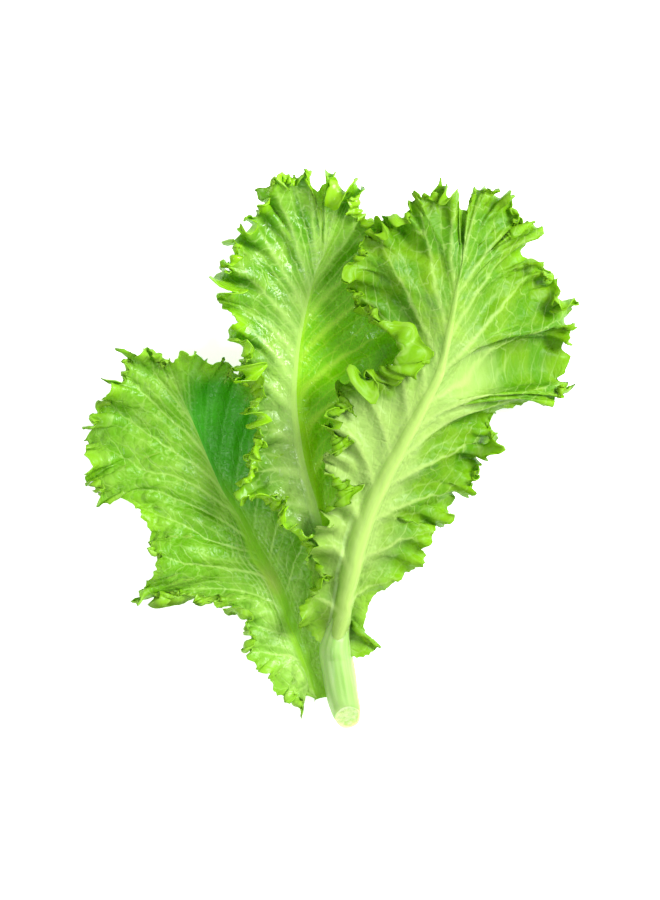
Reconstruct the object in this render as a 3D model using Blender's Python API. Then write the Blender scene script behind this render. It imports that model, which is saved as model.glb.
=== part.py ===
"""A cut sprig of frilly green leaf lettuce: three leaves on one short stem, lying on a surface.

The sprig lies on the plane z = 0 with its cut stem towards -Y. Two leaves lie inner side up, and
the top leaf lies back side up. Each leaf is a thin blade grown round a thick rib. A blade is the
surface swept from its rib to its margin, and its margin is longer than the outline that it fills,
so it stands up in ruffles.
"""
import math
import random

import bpy
import numpy as np

MM = 0.001

# Driving dimensions, in millimetres
BLADE = 0.8             # thickness of a blade
RUFFLE_PITCH = 15.5     # length of one ruffle along the margin
RUFFLE_RISE = 4.8       # height of a ruffle at the margin
RUFFLE_BAND = 13.0      # how far a ruffle reaches in from the margin
RUFFLE_OPEN = 0.075     # how far a ruffle opens out over the next, as a share of its pitch
RUFFLE_FALL = 1.4       # how sharply a ruffle dies away at the end of its reach
RUFFLE_LEAN = 0.05      # slant of a ruffle, in radians of its wave per millimetre from the margin
RUFFLE_MIX = (0.85, 0.35)   # even part of the ruffles' height, and the part that varies
SWELL_PITCH = 46.0      # length of one broad wave of the blade
SWELL_RISE = 2.6        # height of a broad wave
SWELL_GROWTH = 1.6      # how a broad wave grows from the rib to the margin
WANDER = (95.0, 58.0, 41.0)     # lengths over which waves drift, ruffles drift and ruffles vary
DRIFT = (1.6, 2.1, 1.2)         # drift of waves, ruffles and teeth, in radians of their own wave
WAVE_START = 1.5        # how soon a wave starts on its way from the rib
BAY_STEP = 1.0          # step along the margin at which its bends are measured
BAY_SPAN = 9            # steps over which a bend is averaged
FULL_REACH = 35.0       # a blade narrower than this has smaller waves
TOOTH_PITCH = 5.6       # distance between two teeth of the margin
TOOTH_DEPTH = 1.1       # half of a tooth's depth
TOOTH_BAND = 2.2        # how far a tooth reaches in from the margin
TOOTH_LEAST = 0.2       # least size of a tooth on a margin without ruffles
CURL_BAND = 7.0         # width of the strip along the margin that curls over
CURL_BACK = 0.6         # how far a curled margin draws back, as a share of its rise
BESIDE_RIB = 0.1        # share of the way to the margin where a blade's slope at its rib is read
PLEAT_FADE = 2.4        # how soon a pleat rises on its way from the rib
RIB_FRONT = 0.2         # how far a rib stands out on the inner side, as a share of its back
RIB_ROUND = 0.8         # roundness of a rib's section

# Rows of points from the rib to the margin: share of the way, distance between points
RIB_ROWS = (0.0, 0.55, 1.0)
RIB_SPACING = 8.0
OUTER_ROWS = ((0.30, 8.0), (0.55, 5.6), (0.74, 4.2))
EDGE_ROWS = (0.88, 0.96, 1.0)
EDGE_SPACING = 2.75

UP = np.array((0.0, 0.0, 1.0))
BOX_MIDDLE = np.array((0.7, -2.4, 0.0))     # middle of the whole sprig, set over the origin

# A leaf is given by chosen points, in millimetres.
# Rib, from the stem to the rib's end: x, y, z, half width, depth of its back.
# Margin, from the stem to the leaf's tip: place on the rib where its vein starts, x, y, z,
# size of its frill, height of its curl.
# Cup: place on the rib, and how far the blade bulges up there as a share of its reach.
# Tuck: place on the rib, width along it, and how far the veins there are drawn aside on their way
# to the margin, x, y, z, so that the blade folds back over itself.
# Pleat: place on the rib, width along it, and how far the blade is raised or lowered along a vein.

LEAF_LEFT = {
    "seed": 11,
    "back_up": False,
    "sweep": 0.10,
    "rib": (
        (-5.8, -105.5, 5.4, 2.8, 3.6), (-11.4, -88.0, 4.6, 3.4, 3.8), (-17.4, -73.0, 4.1, 3.7, 3.8),
        (-24.0, -56.0, 2.8, 3.6, 3.6), (-31.5, -43.0, 2.3, 3.4, 3.4), (-38.6, -28.5, 2.1, 3.1, 3.1),
        (-46.0, -16.5, 2.4, 2.8, 2.7), (-53.0, -0.5, 3.4, 2.4, 2.2), (-58.4, 13.0, 5.0, 2.0, 1.4),
        (-63.5, 24.0, 7.0, 1.6, 0.8),
    ),
    "left": (
        (0.00, -9.8, -106.5, 5.0, 0.0, 0.0), (0.05, -12.4, -107.0, 4.8, 0.1, 0.0),
        (0.09, -15.4, -109.5, 4.6, 0.4, 0.0), (0.12, -19.6, -105.5, 6.0, 0.7, 1.0),
        (0.15, -25.6, -98.7, 7.0, 0.8, 2.0), (0.18, -31.9, -92.0, 8.5, 0.9, 2.5),
        (0.21, -38.2, -86.5, 9.5, 0.8, 2.0), (0.25, -40.2, -80.2, 10.0, 0.6, 1.0),
        (0.28, -40.6, -72.7, 8.5, 0.4, 0.0), (0.31, -45.8, -66.8, 6.5, 0.4, 0.0),
        (0.34, -55.0, -64.8, 5.5, 0.5, 0.0), (0.37, -65.5, -64.0, 5.0, 0.5, 0.0),
        (0.39, -76.0, -64.0, 5.0, 0.6, 0.0), (0.42, -81.9, -63.0, 6.0, 0.7, 0.0),
        (0.44, -77.0, -56.0, 11.0, 0.3, 0.0), (0.46, -73.0, -48.0, 15.0, 0.2, 0.0),
        (0.485, -77.3, -40.3, 10.0, 0.6, 0.0), (0.54, -76.8, -33.2, 9.0, 0.5, 0.0),
        (0.61, -81.1, -26.5, 7.5, 0.4, 0.0), (0.69, -86.1, -21.0, 6.5, 0.25, 0.0),
        (0.76, -91.0, -20.8, 5.0, 0.3, 0.0), (0.80, -96.2, -22.5, 4.5, 0.5, 0.0),
        (0.83, -101.0, -19.5, 4.5, 0.8, 0.0), (0.85, -103.2, -11.0, 4.0, 0.8, 0.0),
        (0.87, -103.2, -0.4, 4.0, 0.8, 0.0), (0.89, -103.0, 10.0, 4.5, 0.8, 0.0),
        (0.91, -100.5, 18.5, 7.0, 0.8, 0.5), (0.93, -95.0, 24.5, 10.0, 0.8, 1.0),
        (0.95, -90.0, 31.0, 12.0, 0.8, 1.0), (0.97, -85.5, 38.0, 13.5, 0.8, 1.0),
        (0.985, -77.0, 41.0, 15.0, 0.8, 1.0), (1.00, -68.0, 39.5, 15.0, 0.7, 0.0),
    ),
    "right": (
        (0.00, -2.0, -104.5, 5.4, 0.0, 0.0), (0.12, -6.4, -90.0, 5.6, 0.0, 0.0),
        (0.18, -8.0, -80.0, 6.2, 0.1, 0.0), (0.24, -7.6, -67.6, 7.0, 0.3, 0.0),
        (0.29, -7.2, -51.0, 7.5, 0.4, 0.0), (0.38, -9.0, -34.0, 8.0, 0.4, 0.0),
        (0.48, -13.0, -17.2, 8.5, 0.4, 0.0), (0.58, -18.5, -0.4, 9.0, 0.4, 0.0),
        (0.68, -26.0, 14.3, 10.0, 0.4, 0.0), (0.78, -34.0, 25.6, 12.0, 0.5, 0.0),
        (0.86, -41.6, 34.0, 14.0, 0.6, 0.0), (0.92, -49.1, 37.4, 15.0, 0.6, 0.0),
        (0.96, -58.0, 39.9, 15.5, 0.6, 0.0), (1.00, -68.0, 39.5, 15.0, 0.7, 0.0),
    ),
    "cup_left": ((0.0, 0.0), (0.3, 0.05), (0.7, 0.04), (1.0, -0.04)),
    "cup_right": ((0.0, -0.05), (0.5, -0.06), (1.0, -0.04)),
    "tucks_left": ((0.455, 0.04, (-14.0, -2.0, 6.0)),),
    "tucks_right": (),
    "pleats_left": ((0.30, 0.05, 2.0), (0.40, 0.04, -1.5), (0.62, 0.06, -1.5), (0.78, 0.04, 2.5)),
    "pleats_right": (),
}

LEAF_MIDDLE = {
    "seed": 23,
    "back_up": False,
    "sweep": 0.12,
    "rib": (
        (-0.5, -79.0, 9.0, 4.0, 4.4), (0.4, -71.0, 12.0, 4.2, 4.4), (0.0, -59.0, 14.8, 4.4, 4.4),
        (-0.8, -46.6, 17.0, 4.4, 4.2), (-2.9, -34.0, 18.6, 4.4, 4.0), (-6.3, -21.4, 19.6, 4.2, 3.7),
        (-10.5, -6.7, 20.4, 3.8, 3.3), (-13.0, 8.0, 21.0, 3.3, 2.9), (-14.3, 20.6, 21.4, 2.9, 2.5),
        (-13.9, 33.2, 21.9, 2.5, 2.1), (-12.2, 47.9, 22.8, 2.1, 1.7), (-9.2, 62.6, 24.4, 1.7, 1.3),
        (-5.5, 75.2, 27.0, 1.4, 0.4), (-1.3, 84.8, 30.0, 1.3, 0.1),
    ),
    "left": (
        (0.00, -5.0, -78.0, 9.6, 0.0, 0.0), (0.06, -5.0, -70.5, 12.6, 0.1, 0.0),
        (0.12, -6.2, -59.2, 16.0, 0.2, 0.0), (0.18, -7.4, -47.5, 19.0, 0.4, 0.0),
        (0.25, -9.0, -38.0, 21.0, 0.7, 0.0), (0.30, -12.0, -29.8, 22.5, 0.9, 1.0),
        (0.36, -17.8, -24.4, 23.0, 1.0, 2.0), (0.42, -24.8, -20.5, 23.0, 1.0, 2.5),
        (0.47, -31.5, -18.5, 23.0, 1.0, 2.5), (0.50, -34.0, -12.0, 24.0, 1.0, 2.0),
        (0.53, -33.0, -5.0, 25.0, 1.0, 1.0), (0.555, -35.5, 3.8, 26.0, 1.0, 1.0),
        (0.58, -38.0, 14.3, 27.0, 0.9, 1.0), (0.60, -39.0, 23.9, 28.0, 0.9, 0.0),
        (0.62, -42.5, 31.0, 28.0, 1.0, 0.0), (0.645, -42.0, 40.7, 29.0, 1.0, 0.0),
        (0.67, -41.5, 50.0, 30.0, 0.6, 0.0), (0.705, -40.0, 56.0, 31.0, 0.4, 0.0),
        (0.76, -44.5, 60.5, 31.5, 0.4, 0.0), (0.79, -49.0, 67.0, 32.0, 0.8, 0.0),
        (0.82, -46.8, 75.2, 33.0, 1.0, 0.0), (0.85, -44.0, 85.0, 34.0, 1.0, 0.5),
        (0.88, -38.0, 95.5, 35.0, 1.0, 1.0), (0.905, -31.0, 104.0, 35.0, 1.0, 1.5),
        (0.93, -24.0, 111.0, 35.0, 0.9, 1.5), (0.955, -14.8, 112.5, 36.0, 0.8, 1.5),
        (0.98, -5.5, 109.0, 37.0, 0.8, 1.5), (1.00, 2.5, 109.5, 37.5, 0.8, 2.0),
    ),
    "right": (
        (0.00, 3.6, -79.0, 9.4, 0.0, 0.0), (0.06, 4.6, -71.0, 12.2, 0.1, 0.0),
        (0.14, 5.2, -58.0, 15.2, 0.2, 0.0), (0.22, 5.4, -44.0, 18.2, 0.3, 0.0),
        (0.30, 6.6, -29.8, 21.0, 0.4, 0.0), (0.38, 8.8, -15.1, 23.0, 0.4, 0.0),
        (0.46, 13.0, -0.4, 25.0, 0.4, 0.0), (0.54, 18.5, 14.3, 26.0, 0.4, 0.0),
        (0.62, 23.9, 29.0, 26.0, 0.4, 0.0), (0.70, 27.5, 43.7, 26.5, 0.4, 0.0),
        (0.78, 29.0, 60.5, 27.0, 0.4, 0.0), (0.85, 29.0, 76.0, 28.0, 0.5, 0.0),
        (0.90, 27.0, 87.8, 30.0, 0.7, 0.5), (0.94, 21.5, 97.0, 33.0, 0.9, 2.0),
        (0.97, 13.0, 104.5, 36.0, 0.9, 2.5), (1.00, 2.5, 109.5, 37.5, 0.8, 2.0),
    ),
    "cup_left": ((0.0, 0.0), (0.3, -0.06), (0.7, 0.02), (1.0, -0.10)),
    "cup_right": ((0.0, -0.05), (0.5, -0.16), (0.8, -0.10), (1.0, -0.10)),
    "tucks_left": (),
    "tucks_right": (),
    "pleats_left": ((0.66, 0.03, 1.0), (0.735, 0.035, -1.2), (0.80, 0.03, 1.2), (0.87, 0.03, -1.0),
                    (0.93, 0.03, 0.6)),
    "pleats_right": (),
}

LEAF_RIGHT = {
    "seed": 37,
    "back_up": True,
    "sweep": 0.10,
    "rib": (
        (2.2, -81.9, 11.6, 5.2, 4.4), (5.2, -70.0, 16.0, 5.0, 4.4), (9.2, -50.8, 22.5, 4.6, 4.2),
        (13.5, -34.0, 27.0, 4.4, 4.0), (18.4, -21.4, 30.5, 4.2, 3.8), (24.2, -9.7, 33.5, 4.0, 3.6),
        (30.0, 0.8, 36.0, 3.7, 3.2), (35.7, 11.8, 38.2, 3.3, 2.8), (41.2, 22.3, 40.0, 2.9, 2.4),
        (45.8, 32.3, 41.2, 2.5, 2.0), (48.7, 43.7, 41.8, 2.1, 1.6), (50.8, 55.0, 42.0, 1.8, 1.3),
        (52.9, 66.8, 41.8, 1.5, 1.0), (55.0, 78.5, 41.0, 1.2, 0.7),
    ),
    "left": (
        (0.00, -3.9, -81.2, 11.8, 0.0, 0.0), (0.04, -6.0, -79.5, 12.6, 0.1, 0.0),
        (0.07, -9.5, -76.8, 13.4, 0.5, 0.0), (0.10, -13.0, -73.0, 14.0, 0.8, 0.0),
        (0.13, -12.0, -66.5, 15.5, 0.8, 0.0), (0.16, -8.6, -60.0, 19.5, 0.7, 0.0),
        (0.18, -9.0, -52.9, 22.5, 0.7, 0.0), (0.21, -8.0, -46.6, 25.0, 0.7, 0.0),
        (0.25, -3.5, -38.2, 28.0, 0.8, 0.0), (0.29, 0.6, -27.7, 31.0, 0.9, 0.5),
        (0.33, 3.4, -18.1, 33.5, 0.9, 1.0), (0.37, 3.0, -8.8, 35.0, 1.0, 1.5),
        (0.41, 1.0, 1.7, 36.0, 1.0, 2.0), (0.46, 0.4, 14.3, 36.5, 1.0, 2.0),
        (0.51, 1.5, 23.9, 37.0, 1.0, 2.0),
        (0.56, 6.5, 30.5, 38.0, 1.0, 2.0), (0.61, 14.0, 36.5, 40.0, 0.8, 2.0),
        (0.66, 20.0, 44.0, 42.5, 0.6, 2.0), (0.71, 20.5, 52.1, 42.5, 0.6, 2.0),
        (0.77, 15.5, 59.2, 40.0, 0.9, 1.0), (0.82, 10.0, 66.0, 39.0, 1.0, 1.0),
        (0.86, 9.6, 76.0, 39.5, 1.0, 1.0), (0.89, 12.0, 85.7, 40.5, 1.0, 1.0),
        (0.91, 18.5, 92.0, 40.5, 1.0, 0.5), (0.93, 28.1, 97.0, 40.0, 1.0, 0.5),
        (0.95, 35.3, 101.5, 39.0, 1.0, 0.0), (0.965, 44.0, 105.0, 38.0, 1.0, 0.0),
        (0.98, 50.8, 102.0, 38.0, 0.7, 0.0), (0.99, 56.5, 102.5, 37.0, 0.7, 0.0),
        (1.00, 63.5, 105.5, 35.0, 0.7, 0.0),
    ),
    "right": (
        (0.00, 8.3, -82.6, 11.4, 0.0, 0.0), (0.04, 10.6, -82.4, 11.4, 0.1, 0.0),
        (0.07, 15.0, -82.6, 10.6, 0.5, 0.0), (0.09, 16.6, -79.0, 10.5, 0.6, 0.0),
        (0.11, 16.0, -70.0, 12.0, 0.6, 0.0), (0.14, 18.4, -62.5, 13.5, 0.6, 0.0),
        (0.17, 25.6, -57.0, 13.5, 0.7, 0.0), (0.21, 33.5, -52.0, 13.0, 0.7, 0.0),
        (0.25, 39.5, -47.0, 13.0, 0.8, 0.0), (0.28, 41.0, -40.3, 14.5, 0.8, 0.0),
        (0.31, 43.0, -34.0, 15.0, 0.7, 0.0), (0.34, 49.0, -32.0, 13.0, 0.7, 0.0),
        (0.37, 50.5, -26.0, 12.5, 0.6, 0.0), (0.40, 55.0, -20.5, 11.0, 0.6, 0.0),
        (0.43, 60.5, -14.5, 10.0, 0.8, 0.0), (0.46, 65.5, -7.1, 9.0, 0.8, 0.0),
        (0.49, 68.5, 1.2, 9.0, 0.8, 0.0), (0.52, 70.0, 8.4, 10.0, 0.5, 0.0),
        (0.545, 69.5, 14.7, 14.0, 0.1, 0.0), (0.57, 78.0, 17.6, 15.0, 0.1, 0.0),
        (0.59, 86.5, 20.5, 12.0, 0.4, 0.0), (0.61, 94.5, 18.6, 8.5, 0.8, 0.0),
        (0.64, 101.0, 23.0, 6.0, 0.9, 0.0), (0.67, 102.5, 31.0, 5.0, 0.9, 0.0),
        (0.70, 101.8, 40.7, 5.5, 0.9, 0.0), (0.73, 103.0, 50.8, 5.5, 0.8, 0.5),
        (0.77, 100.5, 62.0, 8.0, 0.8, 1.0), (0.81, 95.5, 70.5, 12.5, 1.0, 1.0),
        (0.86, 89.5, 77.5, 19.0, 1.0, 0.5), (0.90, 85.0, 83.5, 21.0, 0.9, 0.0),
        (0.94, 85.0, 91.0, 22.5, 0.7, 0.0), (0.965, 80.5, 95.3, 25.0, 0.5, 0.0),
        (0.985, 74.5, 101.0, 29.0, 0.5, 0.0), (1.00, 63.5, 105.5, 35.0, 0.7, 0.0),
    ),
    "cup_left": ((0.0, 0.0), (0.3, 0.04), (0.6, 0.05), (1.0, 0.06)),
    "cup_right": ((0.0, 0.0), (0.3, 0.08), (0.6, 0.14), (1.0, 0.06)),
    "tucks_left": (),
    "tucks_right": (),
    "pleats_left": ((0.80, 0.03, -3.0), (0.87, 0.02, 1.5), (0.925, 0.015, -2.0)),
    "pleats_right": ((0.635, 0.02, 2.5), (0.69, 0.02, -4.0), (0.745, 0.02, 2.0), (0.84, 0.03, -2.5)),
}

# Stem, from its cut end to the leaves: x, y, z of its middle, half width, half height
STEM_LINE = (
    (7.6, -113.0, 6.7, 5.7, 5.9), (6.4, -108.5, 6.4, 6.3, 6.4), (5.2, -104.0, 6.6, 6.7, 6.7),
    (3.6, -97.5, 7.3, 7.0, 7.0), (2.3, -91.5, 8.2, 7.1, 7.0), (1.5, -87.5, 8.7, 7.2, 6.8),
    (1.0, -84.6, 8.8, 7.2, 6.6),
)
STEM_RINGS = 13
STEM_SIDES = 18
STEM_LUMPS = ((3, 5.0, 0.035), (5, -9.0, 0.021))    # folds round it, twist, share of its radius
CUT_SLANT = 0.75        # how far the top of the cut lies behind its middle, as a share of its height
CUT_FADE = 0.12         # share of the stem over which its rings turn square again


def curve_through(points, samples=1600):
    """Smooth curve through chosen points x, y, z. Further numbers of a point are carried along."""
    pts = np.array(points, float)
    step = np.sqrt(np.linalg.norm(np.diff(pts[:, :3], axis=0), axis=1))
    knot = np.concatenate(((0.0,), np.cumsum(step)))
    secant = np.diff(pts, axis=0) / step[:, None]
    slope = np.empty_like(pts)
    slope[0], slope[-1] = secant[0], secant[-1]
    before, after = step[:-1, None], step[1:, None]
    slope[1:-1] = (secant[:-1] * after + secant[1:] * before) / (before + after)
    at = np.linspace(0.0, knot[-1], samples)
    seg = np.clip(np.searchsorted(knot, at, side="right") - 1, 0, len(pts) - 2)
    w = step[seg][:, None]
    f = ((at - knot[seg]) / step[seg])[:, None]
    return ((2 * f**3 - 3 * f**2 + 1) * pts[seg] + (f**3 - 2 * f**2 + f) * w * slope[seg]
            + (3 * f**2 - 2 * f**3) * pts[seg + 1] + (f**3 - f**2) * w * slope[seg + 1])


def distance_along(curve):
    """Distance along a sampled curve at each of its points."""
    step = np.linalg.norm(np.diff(curve[:, :3], axis=0), axis=1)
    return np.concatenate(((0.0,), np.cumsum(step)))


def read(at, places, table):
    """Every column of a table, read between its rows."""
    return np.stack([np.interp(at, places, table[:, k]) for k in range(table.shape[1])], axis=-1)


def unit(v):
    return v / np.maximum(np.linalg.norm(v, axis=-1, keepdims=True), 1e-9)


def ease(x):
    """Smooth step from 0 to 1."""
    x = np.clip(x, 0.0, 1.0)
    return x * x * (3.0 - 2.0 * x)


def wander(rng, length):
    """A slow, irregular wave between about -1 and 1, as a function of distance."""
    waves = [(2 * math.pi / (length * ratio), rng.uniform(0.0, 2 * math.pi), size)
             for ratio, size in ((1.0, 0.55), (0.62, 0.3), (0.37, 0.22))]
    return lambda along: sum(size * np.sin(rate * along + start) for rate, start, size in waves)


class Half:
    """One half of a leaf, from its rib to its margin.

    A place on it is (u, s): u runs along the margin from the stem, 0, to the leaf's tip, 1, and s
    runs from the rib, 0, to the margin, 1. Seen from above with the tip forward, hand is 1 on the
    left half and -1 on the right half.
    """

    def __init__(self, leaf, spec, side, hand):
        self.leaf, self.hand = leaf, hand
        self.cup = np.array(spec["cup_" + side])
        self.tucks, self.pleats = spec["tucks_" + side], spec["pleats_" + side]
        edge = curve_through([(x, y, z, t, frill, curl) for t, x, y, z, frill, curl in spec[side]])
        self.length = distance_along(edge)
        self.total = self.length[-1]
        self.edge = edge[:, :3]
        root = np.maximum.accumulate(np.clip(edge[:, 3], 0.0, 1.0))
        root = root + np.linspace(0.0, 1e-4, len(root))
        self.root = root / root[-1]
        self.dress = edge[:, 4:6]
        self.dress[:, 0] /= 1.0 + (RUFFLE_PITCH * self.bay()) ** 2

    def bay(self):
        """How sharply the margin bends inwards, seen from above, in radians per millimetre."""
        even = np.linspace(0.0, self.total, int(self.total / BAY_STEP) + 1)
        way = np.diff(read(even, self.length, self.edge[:, :2]), axis=0)
        turn = np.diff(np.unwrap(np.arctan2(way[:, 1], way[:, 0]))) / BAY_STEP
        turn = np.convolve(turn, np.ones(BAY_SPAN) / BAY_SPAN, mode="same")
        return np.interp(self.length, even[1:-1], np.maximum(self.hand * turn, 0.0))

    def root_of(self, u):
        """Place on the rib, from 0 to 1, where the vein to u starts."""
        return np.interp(u * self.total, self.length, self.root)

    def u_of(self, root):
        return np.interp(root, self.root, self.length) / self.total

    def reach(self, u):
        t = self.root_of(u)
        edge = read(u * self.total, self.length, self.edge)
        return np.linalg.norm(edge - read(t, self.leaf.rib_t, self.leaf.rib), axis=-1)

    def lay(self, u, s):
        """The blade before it ruffles, the mark along the whole margin that its waves are counted
        from, the distance from the margin, and the size of its waves."""
        leaf = self.leaf
        along = u * self.total
        t = self.root_of(u)
        rib = read(t, leaf.rib_t, leaf.rib)
        forward = read(t, leaf.rib_t, leaf.rib_way)
        edge = read(along, self.length, self.edge)
        frill, curl = read(along, self.length, self.dress).T
        span = edge - rib
        reach = np.linalg.norm(span, axis=-1)
        cup = np.interp(t, self.cup[:, 0], self.cup[:, 1])
        bend = rib + 0.5 * span + forward * (leaf.sweep * reach)[:, None]
        bend = bend + UP * (cup * reach)[:, None]
        for place, width, drawn in self.tucks:
            bend = bend + np.exp(-(((t - place) / width) ** 2))[:, None] * np.array(drawn)
        legs = np.linalg.norm(bend - rib, axis=-1) + np.linalg.norm(edge - bend, axis=-1)
        reach = 0.5 * (reach + legs)
        k = s[:, None]
        p = (1 - k) ** 2 * rib + 2 * k * (1 - k) * bend + k * k * edge
        mark = self.hand * (along - self.total)
        from_edge = (1 - s) * reach
        size = np.clip(reach / FULL_REACH, 0.0, 1.0) * frill
        swell = np.sin(2 * math.pi * mark / SWELL_PITCH + DRIFT[0] * leaf.drift(mark))
        rise = SWELL_RISE * size * swell * s**SWELL_GROWTH
        for place, width, height in self.pleats:
            rise = rise + height * np.exp(-(((t - place) / width) ** 2)) * ease(PLEAT_FADE * s)
        roll = curl * np.exp(-((from_edge / CURL_BAND) ** 2)) * ease(WAVE_START * s)
        p = p + UP * (rise + roll)[:, None] - unit(span) * (CURL_BACK * np.abs(roll))[:, None]
        return p, mark, from_edge, size

    def frame_of(self, surface, u, s):
        """Upward normal of a surface, and the direction in which the mark grows on it."""
        du, ds = 0.6 / self.total, 0.012
        across = surface(u, np.minimum(s + ds, 1.0)) - surface(u, np.maximum(s - ds, 0.0))
        along = surface(np.minimum(u + du, 1.0), s) - surface(np.maximum(u - du, 0.0), s)
        along = unit(along) * self.hand
        return unit(np.cross(along, unit(across))), along

    def ruffled(self, u, s):
        """The blade with its ruffles, which open out over each other as a river's bends do."""
        p, mark, from_edge, size = self.lay(u, s)
        normal, along = self.frame_of(lambda a, b: self.lay(a, b)[0], u, s)
        leaf = self.leaf
        phase = 2 * math.pi * mark / RUFFLE_PITCH + DRIFT[1] * leaf.wobble(mark)
        phase = phase + RUFFLE_LEAN * from_edge
        weight = np.exp(-((from_edge / RUFFLE_BAND) ** RUFFLE_FALL)) * ease(WAVE_START * s) * size
        height = RUFFLE_RISE * (RUFFLE_MIX[0] + RUFFLE_MIX[1] * leaf.vary(mark))
        rise = height * weight * np.sin(phase)
        slide = RUFFLE_OPEN * RUFFLE_PITCH * weight * np.sin(2 * phase)
        return p + normal * rise[:, None] - along * slide[:, None]

    def blade(self, u, s):
        """The middle of the finished blade, with teeth on its margin, and its upward normal."""
        p = self.ruffled(u, s)
        normal, along = self.frame_of(self.ruffled, u, np.maximum(s, BESIDE_RIB))
        outward = np.cross(normal, along)
        _, mark, from_edge, size = self.lay(u, s)
        tooth = np.cos(2 * math.pi * mark / TOOTH_PITCH + DRIFT[2] * self.leaf.drift(mark))
        point = TOOTH_DEPTH * np.clip(size, TOOTH_LEAST, 1.0) * np.exp(-from_edge / TOOTH_BAND)
        return p - outward * (point * tooth)[:, None], normal


class Leaf:
    """A rib and the two halves that grow from it."""

    def __init__(self, spec):
        rng = random.Random(spec["seed"])
        self.drift, self.wobble, self.vary = (wander(rng, length) for length in WANDER)
        rib = curve_through(spec["rib"])
        self.rib = rib[:, :3]
        self.rib_half_width, self.rib_depth = rib[:, 3], rib[:, 4]
        self.rib_length = distance_along(rib)[-1]
        self.rib_t = distance_along(rib) / self.rib_length
        self.rib_way = unit(np.gradient(self.rib, axis=0))
        self.sweep = spec["sweep"]
        self.back_up = spec["back_up"]
        self.left = Half(self, spec, "left", 1)
        self.right = Half(self, spec, "right", -1)

    def rib_normal(self, t):
        """Upward normal at the rib, midway between those of the two halves beside it."""
        beside = np.full(len(t), BESIDE_RIB)
        return unit(sum(half.blade(half.u_of(t), beside)[1] for half in (self.left, self.right)))

    def thickness(self, t, across):
        """Thickness above and below the middle of the blade, at a share of the rib's half width."""
        depth = np.interp(t, self.rib_t, self.rib_depth)
        bulge = depth * np.cos(0.5 * math.pi * np.minimum(across, 1.0)) ** RIB_ROUND
        inner, back = BLADE / 2 + RIB_FRONT * bulge, BLADE / 2 + bulge
        return (back, inner) if self.back_up else (inner, back)


def rows_of(leaf, half):
    """The rows of points of one half: for each, u, s and the share of the rib's half width."""
    t = np.linspace(0.0, 1.0, int(leaf.rib_length / RIB_SPACING) + 1)
    u = half.u_of(t)
    width = np.interp(t, leaf.rib_t, leaf.rib_half_width)
    near = np.minimum(width / half.reach(u), 0.6)
    rows = [(u, near * share, share) for share in RIB_ROWS]
    fine = np.linspace(0.0, 1.0, 900)
    inner = np.interp(fine, u, near)

    def even(share, spacing):
        length = distance_along(half.lay(fine, inner + (1 - inner) * share)[0])
        count = max(len(u) // 2, int(length[-1] / spacing)) + 1
        return np.interp(np.linspace(0.0, length[-1], count), length, fine)

    edge_u = even(1.0, EDGE_SPACING)
    for share, row_u in ([(share, even(share, spacing)) for share, spacing in OUTER_ROWS]
                         + [(share, edge_u) for share in EDGE_ROWS]):
        start = np.interp(row_u, fine, inner)
        rows.append((row_u, start + (1 - start) * share, 1.0))
    return rows


def zip_rows(inner, outer):
    """Triangles between two rows of points, stepping along whichever row lags behind."""
    (ids_a, u_a), (ids_b, u_b) = inner, outer
    a, b, faces = 0, 0, []
    while a < len(ids_a) - 1 or b < len(ids_b) - 1:
        along_outer = a == len(ids_a) - 1
        if not along_outer and b < len(ids_b) - 1:
            along_outer = u_b[b] + u_b[b + 1] < u_a[a] + u_a[a + 1]
        if along_outer:
            faces.append((ids_a[a], ids_b[b], ids_b[b + 1]))
            b += 1
        else:
            faces.append((ids_a[a], ids_b[b], ids_a[a + 1]))
            a += 1
    return faces


def leaf_sheet(leaf):
    """Points above and below the middle of the blade, and the triangles that they share."""
    upper, lower, faces = [], [], []
    rib_ids, tip_ids = None, {}
    for half in (leaf.left, leaf.right):
        made = []
        for k, (u, s, across) in enumerate(rows_of(leaf, half)):
            if k == 0 and rib_ids:
                made.append((rib_ids, u))
                continue
            place, normal = half.blade(u, s)
            if k == 0:
                normal = leaf.rib_normal(half.root_of(u))
            above, below = leaf.thickness(half.root_of(u), across)
            ids = list(range(len(upper), len(upper) + len(u)))
            if k == 0:
                rib_ids = ids
            elif half is leaf.left:
                tip_ids[k] = ids[-1]
            else:
                ids[-1] = tip_ids[k]
                place, normal = place[:-1], normal[:-1]
                above, below = np.broadcast_to(above, len(u))[:-1], np.broadcast_to(below, len(u))[:-1]
            upper.extend(place + normal * np.reshape(above, (-1, 1)))
            lower.extend(place - normal * np.reshape(below, (-1, 1)))
            made.append((ids, u))
        for inner, outer in zip(made[:-1], made[1:]):
            faces += [f if half.hand < 0 else f[::-1] for f in zip_rows(inner, outer)]
    return np.array(upper), np.array(lower), faces


def close_sheet(upper, lower, faces):
    """Closed mesh of a sheet: both faces split alike, and a strip round the free edge."""
    count = len(upper)
    edges = {(f[k], f[(k + 1) % 3]) for f in faces for k in range(3)}
    rim = sorted((a, b) for a, b in edges if (b, a) not in edges)
    under = [tuple(i + count for i in reversed(f)) for f in faces]
    strip = []
    for a, b in rim:
        strip += [(b, a, a + count), (b, a + count, b + count)]
    return np.concatenate((upper, lower)), faces + under + strip


def add_object(name, points, faces, material):
    """A node from points in millimetres."""
    mesh = bpy.data.meshes.new(name)
    mesh.from_pydata([tuple(p) for p in (points - BOX_MIDDLE) * MM], [], faces)
    mesh.shade_smooth()
    mesh.materials.append(material)
    node = bpy.data.objects.new(name, mesh)
    bpy.context.scene.collection.objects.link(node)
    return node


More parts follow.
